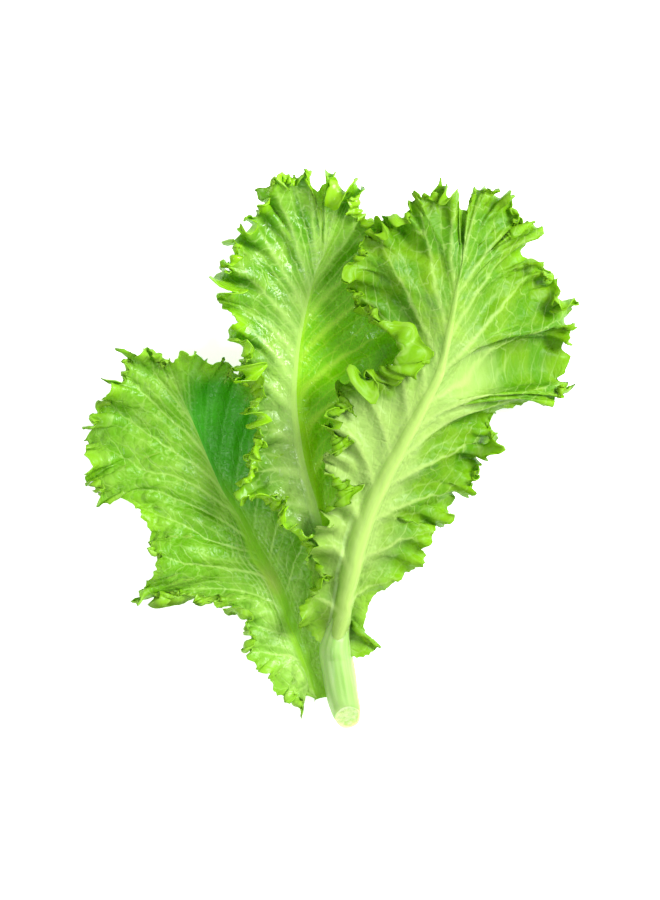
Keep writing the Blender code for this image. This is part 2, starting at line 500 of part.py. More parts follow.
def plant_material(name, colour, roughness):
    """The finish of one piece: soft plant skin, with no metal in it."""
    material = bpy.data.materials.new(name)
    material.use_nodes = True
    shader = material.node_tree.nodes["Principled BSDF"]
    shader.inputs["Base Color"].default_value = (*colour, 1.0)
    shader.inputs["Roughness"].default_value = roughness
    shader.inputs["Metallic"].default_value = 0.0
    return material


def stem_rings():
    """Rings of points round the stem, from its cut end to the leaves."""
    line = curve_through(STEM_LINE)
    place = np.linspace(0.0, 1.0, STEM_RINGS)
    line = read(place, distance_along(line) / distance_along(line)[-1], line)
    way = unit(np.gradient(line[:, :3], axis=0))
    angle = 2 * math.pi * np.arange(STEM_SIDES) / STEM_SIDES
    rings = []
    for k, (x, y, z, half_width, half_height) in enumerate(line):
        side = unit(np.cross(way[k], UP))
        up = np.cross(side, way[k])
        lump = 1.0 + sum(size * np.sin(fold * angle + twist * place[k])
                         for fold, twist, size in STEM_LUMPS)
        back = CUT_SLANT * np.exp(-place[k] / CUT_FADE) * half_height * np.sin(angle)
        ring = (np.array((x, y, z)) + np.outer(half_width * lump * np.cos(angle), side)
                + np.outer(half_height * lump * np.sin(angle), up) + np.outer(back, way[k]))
        ring[:, 2] = np.maximum(ring[:, 2], 0.0)
        rings.append(ring)
    return np.array(rings)


def add_stem(name, material):
    """The short stem: a lumpy tube, cut across at a slant, with a flat cap on each end."""
    rings = stem_rings()
    count, sides = rings.shape[:2]
    points = np.concatenate((rings.reshape(-1, 3), [rings[0].mean(axis=0), rings[-1].mean(axis=0)]))
    faces = []
    for k in range(count - 1):
        for i in range(sides):
            a, b = k * sides + i, k * sides + (i + 1) % sides
            faces += [(a, b + sides, b), (a, a + sides, b + sides)]
    for i in range(sides):
        j = (i + 1) % sides
        last = (count - 1) * sides
        faces += [(count * sides, i, j), (count * sides + 1, last + j, last + i)]
    return add_object(name, points, faces, material)


def add_leaf(name, spec, material):
    """A leaf that is pressed flat where it meets the surface that it lies on."""
    upper, lower, faces = leaf_sheet(Leaf(spec))
    lower[:, 2] = np.maximum(lower[:, 2], 0.0)
    upper[:, 2] = np.maximum(upper[:, 2], BLADE)
    points, faces = close_sheet(upper, lower, faces)
    return add_object(name, points, faces, material)


def main():
    for old in list(bpy.data.objects):
        bpy.data.objects.remove(old, do_unlink=True)
    add_leaf("leaf_left", LEAF_LEFT, plant_material("leaf_left_green", (0.20, 0.45, 0.03), 0.45))
    add_leaf("leaf_middle", LEAF_MIDDLE, plant_material("leaf_middle_green", (0.26, 0.52, 0.04), 0.45))
    add_leaf("leaf_right", LEAF_RIGHT, plant_material("leaf_right_green", (0.32, 0.56, 0.12), 0.5))
    add_stem("stem", plant_material("stem_green", (0.50, 0.62, 0.18), 0.4))


main()
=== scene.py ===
# %% [markdown]
# # A cut sprig of frilly green leaf lettuce
# Three leaves grow from one short stem. Two of them lie with their inner side up, and the top one
# lies with its back up, so that its thick pale rib shows. Every leaf has a smooth, puckered blade and
# a margin that is much longer than the outline that it fills, so it stands up in ruffles.
#
# The imported model is the fixed frame. Its solids give each leaf its place and its reach. They could
# be shown as they are, but their blades are coarse, so each leaf is grown again here from the same
# kind of given points, with a finer surface.

# %% Load the imported model
import math
import random

import bmesh
import bpy
import numpy as np
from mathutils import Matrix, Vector


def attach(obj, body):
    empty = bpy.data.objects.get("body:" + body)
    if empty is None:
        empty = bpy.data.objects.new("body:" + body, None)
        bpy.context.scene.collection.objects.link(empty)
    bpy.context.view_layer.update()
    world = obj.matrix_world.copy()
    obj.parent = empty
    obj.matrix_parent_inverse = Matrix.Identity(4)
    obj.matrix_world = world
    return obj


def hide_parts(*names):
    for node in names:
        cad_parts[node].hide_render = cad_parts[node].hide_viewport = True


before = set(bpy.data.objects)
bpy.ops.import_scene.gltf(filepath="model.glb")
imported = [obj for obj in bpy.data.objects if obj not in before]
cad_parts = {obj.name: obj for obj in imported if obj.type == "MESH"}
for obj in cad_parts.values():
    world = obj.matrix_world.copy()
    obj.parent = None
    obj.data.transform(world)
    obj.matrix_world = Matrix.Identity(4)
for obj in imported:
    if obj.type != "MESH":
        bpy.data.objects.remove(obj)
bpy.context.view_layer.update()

# %% [markdown]
# ## The place to look from
# The sprig lies flat and is seen from straight above. A long lens far away keeps its proportions
# true, where a short one would swell the leaves that lie highest.

# %% Camera over the leaves
MM = 0.001
PIXELS_TALL, PIXEL = 900, 0.42  # height of the picture, and the millimetres that one pixel takes in
VIEW_MIDDLE = (-0.0007, 0.0024, 0.02)  # metres, about halfway up the leaves
LENS, SENSOR = 200.0, 36.0  # millimetres
NEAREST, FARTHEST = 0.1, 20.0  # metres between which the camera sees


def studio_camera():
    data = bpy.data.cameras.new("camera")
    data.lens, data.sensor_width = LENS, SENSOR
    data.clip_start, data.clip_end = NEAREST, FARTHEST
    camera = bpy.data.objects.new("camera", data)
    x, y, z = VIEW_MIDDLE
    camera.location = (x, y, z + PIXELS_TALL * PIXEL * MM * LENS / SENSOR)
    bpy.context.scene.collection.objects.link(camera)
    bpy.context.scene.camera = camera
    return camera


print("camera stands", round(studio_camera().location.z, 2), "m above the table")

# %% [markdown]
# ## The sheet under the sprig
# The sprig lies on matte white paper that is lit through from below, as on a light table, so that it
# stays white right up to the leaves. A plain white floor would turn grey, because it can't be brighter
# than the leaves' own light. The sheet glows a little, and it goes on far past the picture, so that
# none of its edges show.

# %% White sheet
SHEET_HALF = 2.0  # metres from its middle to its edge
SHEET_DROP = 0.0002  # it lies just under the leaves' flat spots
SHEET_GLOW = 0.68
SHEET_ROUGH, SHEET_SHINE = 0.8, 0.1
PAPER, WHITE = (0.94, 0.94, 0.94, 1.0), (1.0, 1.0, 1.0, 1.0)
SHEET_CORNERS = ((-1, -1), (1, -1), (1, 1), (-1, 1))


def paper_finish():
    material = bpy.data.materials.new("sheet_white")
    material.use_nodes = True
    shader = material.node_tree.nodes["Principled BSDF"]
    shader.inputs["Base Color"].default_value = PAPER
    shader.inputs["Roughness"].default_value = SHEET_ROUGH
    shader.inputs["Specular IOR Level"].default_value = SHEET_SHINE
    shader.inputs["Emission Color"].default_value = WHITE
    shader.inputs["Emission Strength"].default_value = SHEET_GLOW
    return material


def white_sheet():
    mesh = bpy.data.meshes.new("white_sheet")
    corners = [(x * SHEET_HALF, y * SHEET_HALF, -SHEET_DROP) for x, y in SHEET_CORNERS]
    mesh.from_pydata(corners, [], [(0, 1, 2, 3)])
    mesh.materials.append(paper_finish())
    sheet = bpy.data.objects.new("white_sheet", mesh)
    bpy.context.scene.collection.objects.link(sheet)


white_sheet()
print("sheet is", 2 * SHEET_HALF, "m wide")

# %% [markdown]
# ## Soft light
# An even sky lights every fold. One broad lamp at the upper right makes the halves of the leaves that
# face it pale, and leaves the others a deep green. A small reflector at the lower left puts bright
# spots on the wet blades, as a window would. A sun lamp could do it alone, but its hard shadows would
# cut across the frills.

# %% Sky and lamps
SKY = 0.57
AIM = (0.0, 0.0, 0.02)  # metres: the middle of the sprig


def lamp(name, place, size, power):
    data = bpy.data.lights.new(name, "AREA")
    data.shape, data.size, data.energy = "DISK", size, power
    light = bpy.data.objects.new(name, data)
    light.location = place
    light.rotation_mode = "QUATERNION"
    light.rotation_quaternion = (Vector(AIM) - Vector(place)).to_track_quat("-Z", "Y")
    bpy.context.scene.collection.objects.link(light)
    print(name, "lamp:", power, "W from", round((Vector(AIM) - Vector(place)).length, 2), "m away")


def sky(strength):
    world = bpy.data.worlds.new("even_sky")
    world.use_nodes = True
    world.node_tree.nodes["Background"].inputs["Color"].default_value = WHITE
    world.node_tree.nodes["Background"].inputs["Strength"].default_value = strength
    bpy.context.scene.world = world


sky(SKY)
lamp("window", place=(0.8, 0.42, 0.78), size=0.6, power=25.0)
lamp("reflector", place=(-0.55, -0.3, 0.8), size=0.25, power=3.0)
bpy.context.scene.view_settings.view_transform = "Standard"

# %% [markdown]
# ## Curves through chosen points
# A rib or a margin is a smooth curve through a few given points. A spline object
# could hold it, but here many other numbers are carried along with each point, such as the width of
# the rib, so the curve is worked out with plain arrays.

# %% A curve and its length
SAMPLES = 1600  # points that each curve is drawn with


def curve_through(points):
    """Smooth curve through chosen points x, y, z. Further numbers of a point are carried along."""
    pts = np.array(points, float)
    step = np.sqrt(np.linalg.norm(np.diff(pts[:, :3], axis=0), axis=1))
    knot = np.concatenate(((0.0,), np.cumsum(step)))
    secant = np.diff(pts, axis=0) / step[:, None]
    slope = np.empty_like(pts)
    slope[0], slope[-1] = secant[0], secant[-1]
    before, after = step[:-1, None], step[1:, None]
    slope[1:-1] = (secant[:-1] * after + secant[1:] * before) / (before + after)
    at = np.linspace(0.0, knot[-1], SAMPLES)
    seg = np.clip(np.searchsorted(knot, at, side="right") - 1, 0, len(pts) - 2)
    w = step[seg][:, None]
    f = ((at - knot[seg]) / step[seg])[:, None]
    return ((2 * f**3 - 3 * f**2 + 1) * pts[seg] + (f**3 - 2 * f**2 + f) * w * slope[seg]
            + (3 * f**2 - 2 * f**3) * pts[seg + 1] + (f**3 - f**2) * w * slope[seg + 1])


def distance_along(curve):
    step = np.linalg.norm(np.diff(curve[:, :3], axis=0), axis=1)
    return np.concatenate(((0.0,), np.cumsum(step)))


ruler = curve_through([(0, 0, 0), (4, 0, 0), (10, 0, 0)])
print("a ruler of 10 mm measures", round(distance_along(ruler)[-1], 3))

# %% [markdown]
# ## Reading, easing and wandering
# Three more small tools are used all through the leaves. One reads a table between its rows, one eases
# from 0 to 1 without a corner, and one gives a slow wave that never quite repeats, because no two
# ruffles of a leaf are alike. A noise texture could give such a wave, but not one that runs exactly
# along a margin.

# %% Small tools for numbers
WANDER_PARTS = ((1.0, 0.55), (0.62, 0.3), (0.37, 0.22))  # share of the length and height of three waves
LEAST = 1e-9  # nothing smaller is divided by, so that a zero does no harm


def read(at, places, table):
    """Every column of a table, read between its rows."""
    return np.stack([np.interp(at, places, table[:, k]) for k in range(table.shape[1])], axis=-1)


def unit(v):
    """The same direction with length 1."""
    return v / np.maximum(np.linalg.norm(v, axis=-1, keepdims=True), LEAST)


def ease(x):
    """Smooth step from 0 to 1."""
    x = np.clip(x, 0.0, 1.0)
    return x * x * (3.0 - 2.0 * x)


def wander(rng, length):
    """A slow, irregular wave between about -1 and 1, as a function of distance."""
    waves = [(2 * math.pi / (length * ratio), rng.uniform(0.0, 2 * math.pi), size)
             for ratio, size in WANDER_PARTS]
    return lambda along: sum(size * np.sin(rate * along + start) for rate, start, size in waves)


print("halfway, the easing gives", ease(0.5))

# %% [markdown]
# ## The left leaf in numbers
# All numbers are millimetres, with the stem's cut end towards -Y. A rib is a row of points with its half
# width and the depth of its back. A margin is a row of points too: the place on the rib, from 0 to 1,
# where its vein leaves it, then x, y and z, the size of its frill and the height of its curl. Cups lift
# or sink the middle of the blade, tucks pull it aside, and pleats are single long folds. A tool could
# trace the points, but then nobody could say what each of them is.

# %% Points of the left leaf
LEAF_LEFT = {
    "seed": 11,
    "back_up": False,
    "sweep": 0.1,
    "rib": (
        (-5.8, -105.5, 5.4, 2.8, 3.6), (-11.4, -88, 4.6, 3.4, 3.8), (-17.4, -73, 4.1, 3.7, 3.8),
        (-24, -56, 2.8, 3.6, 3.6), (-31.5, -43, 2.3, 3.4, 3.4), (-38.6, -28.5, 2.1, 3.1, 3.1),
        (-46, -16.5, 2.4, 2.8, 2.7), (-53, -0.5, 3.4, 2.4, 2.2), (-58.4, 13, 5, 2, 1.4),
        (-63.5, 24, 7, 1.6, 0.8),
    ),
    "left": (
        (0.00, -6.5, -106.5, 5, 0, 0), (0.035, -10, -104, 4.8, 0, 0),
        (0.07, -12.6, -111.5, 4.4, 0.2, 0), (0.085, -15, -112, 4.6, 0.4, 0),
        (0.12, -19.6, -105.5, 6, 0.4, 1),
        (0.15, -25.6, -98.7, 7, 0.4, 2), (0.18, -31.9, -92, 8.5, 0.45, 2.5),
        (0.21, -38.2, -86.5, 9.5, 0.5, 2), (0.25, -40.2, -80.2, 10, 0.5, 1),
        (0.28, -40.6, -72.7, 8.5, 0.4, 0), (0.31, -45.8, -66.8, 6.5, 0.4, 0),
        (0.34, -55, -64.8, 5.5, 0.5, 0), (0.37, -65.5, -64, 5, 0.5, 0),
        (0.39, -76, -64, 5, 0.6, 0), (0.42, -81.9, -63, 6, 0.7, 0),
        (0.44, -77, -56, 11, 0.3, 0), (0.46, -73, -48, 15, 0.2, 0),
        (0.485, -77.3, -40.3, 10, 0.6, 0), (0.54, -76.8, -33.2, 9, 0.5, 0),
        (0.61, -81.1, -26.5, 7.5, 0.4, 0), (0.69, -86.1, -21, 6.5, 0.25, 0),
        (0.76, -91, -20.8, 5, 0.3, 0), (0.8, -96.2, -22.5, 4.5, 0.5, 0),
        (0.83, -101, -19.5, 4.5, 0.8, 0), (0.85, -103.2, -11, 4, 0.8, 0),
        (0.87, -103.2, -0.4, 4, 0.8, 0), (0.89, -103, 10, 4.5, 0.8, 0),
        (0.91, -100.5, 18.5, 7, 0.8, 0.5), (0.93, -95, 24.5, 10, 0.8, 1),
        (0.95, -91, 32.5, 12, 0.8, 1), (0.97, -86.5, 40.5, 13.5, 0.8, 1),
        (0.985, -77, 43, 15, 0.8, 1), (1.00, -68, 39.5, 15, 0.7, 0),
    ),
    "right": (
        (0.00, 0.5, -104.5, 4.4, 0, 0), (0.12, -1.5, -90, 5.2, 0, 0),
        (0.18, -4.5, -80, 6.6, 0.1, 0), (0.24, -5.6, -67.6, 7, 0.3, 0),
        (0.29, -2.4, -51, 7, 0.3, 0), (0.38, -4, -34, 7.5, 0.3, 0),
        (0.48, -9, -17.2, 8, 0.3, 0), (0.58, -15, -0.4, 8.5, 0.3, 0),
        (0.68, -23, 15.3, 9.5, 0.3, 0), (0.78, -30, 29, 11.5, 0.4, 0),
        (0.86, -38.6, 37, 13.5, 0.5, 0), (0.92, -49.1, 37.4, 15, 0.6, 0),
        (0.96, -58, 39.9, 15.5, 0.6, 0), (1.00, -68, 39.5, 15, 0.7, 0),
    ),
    "cup_left": ((0, 0), (0.3, 0.05), (0.7, 0.04), (1, -0.04)),
    "cup_right": ((0, -0.05), (0.5, -0.06), (1, -0.04)),
    "tucks_left": ((0.455, 0.04, (-14, -2, 6)),),
    "tucks_right": (),
    "pleats_left": ((0.3, 0.05, 2), (0.4, 0.04, -1.5), (0.62, 0.06, -1.5), (0.78, 0.04, 2.5)),
    "pleats_right": (),
}
print("left leaf:", len(LEAF_LEFT["left"]) + len(LEAF_LEFT["right"]), "points on its margin")

# %% [markdown]
# ## The middle leaf in numbers
# The middle leaf lies in a trough, with its inner side up. Its margin is the tightest and most
# frilled of the three, and two lobes with a bay between them stand at its tip. The same kind of table
# holds it, so that one way of growing serves all the leaves.

# %% Points of the middle leaf
LEAF_MIDDLE = {
    "seed": 23,
    "back_up": False,
    "sweep": 0.12,
    "rib": (
        (-0.5, -79, 9, 4, 4.4), (0.4, -71, 12, 4.2, 4.4), (0, -59, 14.8, 4.4, 4.4),
        (-0.8, -46.6, 17, 4.4, 4.2), (-2.9, -34, 18.6, 4.4, 4), (-6.3, -21.4, 19.6, 4.2, 3.7),
        (-10.5, -6.7, 20.4, 3.8, 3.3), (-13, 8, 21, 3.3, 2.9), (-14.3, 20.6, 21.4, 2.9, 2.5),
        (-13.9, 33.2, 21.9, 2.5, 2.1), (-12.2, 47.9, 22.8, 2.1, 1.7), (-9.2, 62.6, 24.4, 1.7, 1.3),
        (-5.5, 75.2, 27, 1.4, 0.4), (-1.3, 84.8, 30, 1.3, 0.1),
    ),
    "left": (
        (0.00, -5, -78, 9.6, 0, 0), (0.06, -5, -70.5, 12.6, 0.1, 0),
        (0.12, -6.8, -59.2, 16, 0.3, 0), (0.18, -9, -49, 19, 0.6, 0),
        (0.25, -14.5, -44, 21, 0.9, 1), (0.3, -19.5, -38.5, 22.5, 1, 1.5),
        (0.36, -26, -33.5, 23, 1, 2), (0.42, -33, -28.5, 23, 1, 2.5),
        (0.47, -38.5, -21, 23, 1, 2.5), (0.5, -39, -12.5, 24, 1, 2),
        (0.53, -36.5, -5, 25, 1, 1), (0.555, -36.5, 3.8, 26, 1, 1),
        (0.58, -38, 14.3, 27, 0.9, 1), (0.6, -39, 23.9, 28, 0.9, 0),
        (0.62, -42.5, 31, 28, 1, 0), (0.645, -42, 40.7, 29, 1, 0),
        (0.67, -41.5, 50, 30, 0.6, 0), (0.705, -40, 56, 31, 0.4, 0),
        (0.76, -44.5, 60.5, 31.5, 0.4, 0), (0.79, -49, 67, 32, 0.8, 0),
        (0.82, -46.8, 75.2, 33, 1, 0), (0.85, -44, 85, 34, 1, 0.5),
        (0.88, -38, 95.5, 35, 1, 1), (0.905, -31, 104, 35, 1, 1.5),
        (0.93, -25.5, 115, 35, 0.9, 1.5), (0.95, -18.5, 118, 36, 0.7, 1),
        (0.963, -10.5, 117.5, 36.5, 0.4, 0.5), (0.97, -8.8, 111, 36.5, 0.2, 0),
        (0.976, -5.5, 107.5, 36.5, 0.2, 0), (0.983, -2.4, 111, 37, 0.2, 0),
        (0.991, -1, 116, 37, 0.4, 0.5), (1.00, 5, 116.5, 37.5, 0.7, 1),
    ),
    "right": (
        (0.00, 3.6, -79, 9.4, 0, 0), (0.06, 4.6, -71, 12.2, 0.1, 0),
        (0.14, 5.2, -58, 15.2, 0.2, 0), (0.22, 5.4, -44, 18.2, 0.3, 0),
        (0.3, 6.6, -29.8, 21, 0.4, 0), (0.38, 8.8, -15.1, 23, 0.4, 0),
        (0.46, 13, -0.4, 25, 0.4, 0), (0.54, 18.5, 14.3, 26, 0.4, 0),
        (0.62, 27, 29, 26, 0.4, 0), (0.7, 32, 43.7, 26.5, 0.4, 0),
        (0.78, 32.5, 60.5, 27, 0.4, 0), (0.85, 30.5, 76, 28, 0.5, 0),
        (0.9, 27, 87.8, 30, 0.7, 0.5), (0.94, 21.5, 97, 33, 0.9, 2),
        (0.97, 13.5, 109.5, 36, 0.9, 2), (1.00, 5, 116.5, 37.5, 0.7, 1),
    ),
    "cup_left": ((0, 0), (0.3, -0.06), (0.7, 0.02), (1, -0.1)),
    "cup_right": ((0, -0.05), (0.5, -0.16), (0.8, -0.1), (1, -0.1)),
    "tucks_left": (),
    "tucks_right": (),
    "pleats_left": ((0.66, 0.03, 1), (0.735, 0.035, -1.2), (0.8, 0.03, 1.2), (0.87, 0.03, -1),
                    (0.93, 0.03, 0.6)),
    "pleats_right": (),
}
print("middle leaf:", len(LEAF_MIDDLE["left"]) + len(LEAF_MIDDLE["right"]), "points on its margin")

# %% [markdown]
# ## The right leaf in numbers
# The right leaf lies on top with its back up, so its rib is a ridge. A slot splits its tip, and its
# left margin is a chain of frills that lies over the middle leaf. Its left and right are named as they
# are seen from above.

# %% Points of the right leaf
LEAF_RIGHT = {
    "seed": 37,
    "back_up": True,
    "sweep": 0.1,
    "rib": (
        (2.2, -81.9, 11.6, 5.2, 4.4), (5.2, -70, 16, 5, 4.4), (9.2, -50.8, 22.5, 4.6, 4.2),
        (13.5, -34, 27, 4.4, 4), (18.4, -21.4, 30.5, 4.2, 3.8), (24.2, -9.7, 33.5, 4, 3.6),
        (30, 0.8, 36, 3.7, 3.2), (35.7, 11.8, 38.2, 3.3, 2.8), (41.2, 22.3, 40, 2.9, 2.4),
        (45.8, 32.3, 41.2, 2.5, 2), (48.7, 43.7, 41.8, 2.1, 1.6), (50.8, 55, 42, 1.8, 1.3),
        (52.9, 66.8, 41.8, 1.5, 1), (55, 78.5, 41, 1.2, 0.7),
    ),
    "left": (
        (0.00, -3.9, -81.2, 11.8, 0, 0), (0.04, -6, -79.5, 12.6, 0.1, 0),
        (0.07, -9.5, -76.8, 13.4, 0.3, 0), (0.1, -13, -73, 14, 0.4, 0),
        (0.13, -11.5, -66.5, 15.5, 0.4, 0), (0.16, -8.6, -60, 19.5, 0.4, 0),
        (0.18, -9, -52.9, 22.5, 0.45, 0), (0.21, -8, -46.6, 25, 0.55, 0),
        (0.25, -6.5, -38.2, 28, 0.7, 0), (0.29, -4.5, -27.7, 31, 0.9, 0.5),
        (0.33, -2.5, -18.1, 33.5, 0.9, 1), (0.37, -3, -8.8, 35, 1, 1.5),
        (0.41, -5, 1.7, 36, 1, 2), (0.46, -5, 14.3, 36.5, 1, 2),
        (0.51, -3.5, 23.9, 37, 1, 2),
        (0.56, 3.5, 30.5, 38, 1, 2), (0.61, 14, 36.5, 40, 0.8, 2),
        (0.66, 20, 44, 42.5, 0.6, 2), (0.71, 20.5, 52.1, 42.5, 0.6, 2),
        (0.77, 10.5, 58, 39, 0.6, 0), (0.82, 6, 66, 38, 0.5, 0),
        (0.86, 6.5, 77, 38.5, 0.6, 0.5), (0.89, 10, 87, 40, 0.9, 1),
        (0.91, 18.5, 94, 40.5, 1, 0.5), (0.93, 28.1, 101, 40, 1, 0.5),
        (0.95, 35.3, 106, 39, 1, 0), (0.965, 44, 110.5, 38, 0.9, 0),
        (0.975, 51, 109.5, 38, 0.5, 0), (0.981, 53.8, 105.5, 37.5, 0.3, 0),
        (0.986, 54.4, 100.5, 37.5, 0.3, 0), (0.99, 57.8, 100.5, 37.5, 0.3, 0),
        (0.994, 58.3, 106, 36.5, 0.3, 0), (1.00, 63.5, 111.5, 35, 0.6, 0),
    ),
    "right": (
        (0.00, 6.8, -86.5, 11, 0, 0), (0.03, 10.8, -87.8, 10.6, 0, 0),
        (0.05, 16, -86.2, 10, 0.1, 0), (0.065, 21.6, -83.4, 9.6, 0.2, 0),
        (0.085, 16, -80.4, 10.5, 0.2, 0), (0.11, 15.5, -70, 12, 0.25, 0),
        (0.14, 18.4, -62.5, 13.5, 0.25, 0),
        (0.17, 25.6, -57, 13.5, 0.25, 0), (0.21, 33.5, -52, 13, 0.3, 0),
        (0.25, 39.5, -47, 13, 0.35, 0), (0.28, 41, -40.3, 14.5, 0.35, 0),
        (0.31, 43, -34, 15, 0.45, 0), (0.34, 49, -32, 13, 0.6, 0),
        (0.37, 50.5, -26, 12.5, 0.6, 0), (0.4, 55, -20.5, 11, 0.6, 0),
        (0.43, 60.5, -14.5, 10, 0.8, 0), (0.46, 65.5, -7.1, 9, 0.8, 0),
        (0.49, 68.5, 1.2, 9, 0.8, 0), (0.52, 70, 8.4, 10, 0.5, 0),
        (0.545, 69.5, 14.7, 14, 0.1, 0), (0.57, 78, 17.6, 15, 0.1, 0),
        (0.59, 86.5, 20.5, 12, 0.3, 0), (0.61, 94.5, 18.6, 8.5, 0.4, 0),
        (0.64, 102.5, 22, 6, 0.5, 0), (0.67, 105, 31, 5, 0.5, 0),
        (0.7, 104.5, 40.7, 5.5, 0.5, 0), (0.73, 105.5, 51.5, 5.5, 0.6, 0.5),
        (0.77, 102.5, 63.5, 8, 0.9, 1), (0.81, 96.5, 72, 12.5, 1, 1),
        (0.86, 91, 78, 19, 0.9, 0.5), (0.89, 85.5, 80, 20, 0.5, 0),
        (0.905, 80.5, 82.5, 21.5, 0.3, 0), (0.92, 84.5, 88, 22, 0.3, 0),
        (0.935, 89.5, 94, 21.5, 0.3, 0), (0.945, 87, 97, 22, 0.3, 0),
        (0.957, 80, 93, 24.5, 0.3, 0), (0.97, 80, 100.5, 26, 0.6, 0),
        (0.985, 74, 107, 29, 0.7, 0), (1.00, 63.5, 111.5, 35, 0.6, 0),
    ),
    "cup_left": ((0, 0), (0.3, 0.04), (0.6, 0.05), (1, 0.06)),
    "cup_right": ((0, 0), (0.3, 0.08), (0.6, 0.14), (1, 0.06)),
    "tucks_left": (),
    "tucks_right": (),
    "pleats_left": ((0.8, 0.03, -3), (0.87, 0.02, 1.5), (0.925, 0.015, -2)),
    "pleats_right": ((0.635, 0.02, 2.5), (0.69, 0.02, -4), (0.745, 0.02, 2), (0.84, 0.03, -2.5)),
}
print("right leaf:", len(LEAF_RIGHT["left"]) + len(LEAF_RIGHT["right"]), "points on its margin")

# %% [markdown]
# ## Where the side veins run
# Side veins are pairs of numbers: the place on the rib where one leaves it, and the place whose margin
# it reaches. They lean forward, as those of a lettuce do. They could be drawn as curves of their own,
# but both the shape and the finish need to know how far every point is from its nearest vein.

# %% Side veins of the leaves
SIDE_VEINS = {
    "leaf_left": {
        "left": ((0, 0), (0.04, 0.15), (0.1, 0.21), (0.17, 0.29), (0.25, 0.43), (0.36, 0.47),
                 (0.47, 0.62), (0.5, 0.84), (0.58, 0.88), (0.67, 0.925), (0.78, 0.96), (0.9, 0.985),
                 (1, 1)),
        "right": ((0, 0), (0.08, 0.16), (0.18, 0.28), (0.28, 0.42), (0.38, 0.55), (0.48, 0.67),
                  (0.58, 0.77), (0.68, 0.86), (0.79, 0.93), (0.9, 0.97), (1, 1)),
    },
    "leaf_middle": {
        "left": ((0, 0), (0.12, 0.2), (0.22, 0.32), (0.31, 0.43), (0.4, 0.51), (0.49, 0.58),
                 (0.57, 0.64), (0.64, 0.7), (0.7, 0.77), (0.76, 0.85), (0.82, 0.89), (0.88, 0.93),
                 (0.94, 0.965), (1, 1)),
        "right": ((0, 0), (0.14, 0.24), (0.26, 0.38), (0.38, 0.52), (0.49, 0.64), (0.59, 0.75),
                  (0.69, 0.84), (0.79, 0.91), (0.89, 0.96), (1, 1)),
    },
    "leaf_right": {
        "left": ((0, 0), (0.08, 0.16), (0.18, 0.28), (0.28, 0.4), (0.38, 0.5), (0.47, 0.6),
                 (0.56, 0.7), (0.64, 0.86), (0.71, 0.92), (0.8, 0.95), (0.9, 0.98), (1, 1)),
        "right": ((0, 0), (0.1, 0.19), (0.2, 0.31), (0.3, 0.42), (0.4, 0.52), (0.48, 0.6),
                  (0.56, 0.67), (0.64, 0.76), (0.71, 0.88), (0.8, 0.93), (0.9, 0.97), (1, 1)),
    },
}
print("leaves:", ", ".join(SIDE_VEINS))

# %% [markdown]
# ## Half a leaf
# A place on half a leaf is (u, s): u runs along the margin from the stem to the tip, and s from the rib
# to the margin. Each point of the margin hangs on a vein that starts somewhere on the rib. Cloth cut from
# a flat outline wouldn't need that, but it wouldn't know where its frill is large and where it is calm.
# In a bay the margin has no room, so its frill is smaller there.

# %% A margin and the rib beside it
RUFFLE_PITCH = 15.5  # length of one ruffle along the margin, in millimetres
BAY_STEP, BAY_SPAN = 1.0, 9  # millimetres between two readings of the bend, and readings averaged
ROOT_GROWTH = 1e-4  # places on the rib always grow a little, so that they can be read backwards


class Half:
    """One half of a leaf. Seen from above with the tip forward, hand is 1 on the left half."""

    def __init__(self, leaf, spec, side, hand):
        self.leaf, self.hand, self.side = leaf, hand, side
        self.cup = np.array(spec["cup_" + side])
        self.tucks, self.pleats = spec["tucks_" + side], spec["pleats_" + side]
        edge = curve_through([(x, y, z, t, frill, curl) for t, x, y, z, frill, curl in spec[side]])
        self.length = distance_along(edge)
        self.total = self.length[-1]
        self.edge = edge[:, :3]
        root = np.maximum.accumulate(np.clip(edge[:, 3], 0.0, 1.0))
        root = root + np.linspace(0.0, ROOT_GROWTH, len(root))
        self.root = root / root[-1]
        self.dress = edge[:, 4:6]
        self.dress[:, 0] /= 1.0 + (RUFFLE_PITCH * self.bay()) ** 2

    def bay(self):
        """How sharply the margin bends inwards, seen from above, in radians per millimetre."""
        even = np.linspace(0.0, self.total, int(self.total / BAY_STEP) + 1)
        way = np.diff(read(even, self.length, self.edge[:, :2]), axis=0)
        turn = np.diff(np.unwrap(np.arctan2(way[:, 1], way[:, 0]))) / BAY_STEP
        turn = np.convolve(turn, np.ones(BAY_SPAN) / BAY_SPAN, mode="same")
        return np.interp(self.length, even[1:-1], np.maximum(self.hand * turn, 0.0))

    def root_of(self, u):
        """Place on the rib where the vein of a place on the margin starts."""
        return np.interp(u * self.total, self.length, self.root)

    def u_of(self, root):
        """The other way round."""
        return np.interp(root, self.root, self.length) / self.total

    def reach(self, u):
        """Straight distance from the rib to the margin."""
        edge = read(u * self.total, self.length, self.edge)
        return np.linalg.norm(edge - read(self.root_of(u), self.leaf.rib_t, self.leaf.rib), axis=-1)


print("half a leaf reads its outline's bend every", BAY_STEP, "mm")

# %% [markdown]
# ## A whole leaf
# A leaf is its rib with a half on either side. Each leaf has slow waves of its own, by which its ruffles
# drift and vary. They come from a fixed seed, so the same leaf grows each time. One set of waves for all
# three would be simpler, but the leaves lie on each other, and the repeat would be seen.

# %% Rib and waves of each leaf
# Lengths in millimetres over which swells drift, broad waves drift and broad waves vary, and then
# those for the drift and for the height of the two smaller kinds of wave.
WANDER, DRIFT_LENGTHS, SIZE_LENGTHS = (95.0, 58.0, 41.0), (33.0, 19.0), (27.0, 13.0)


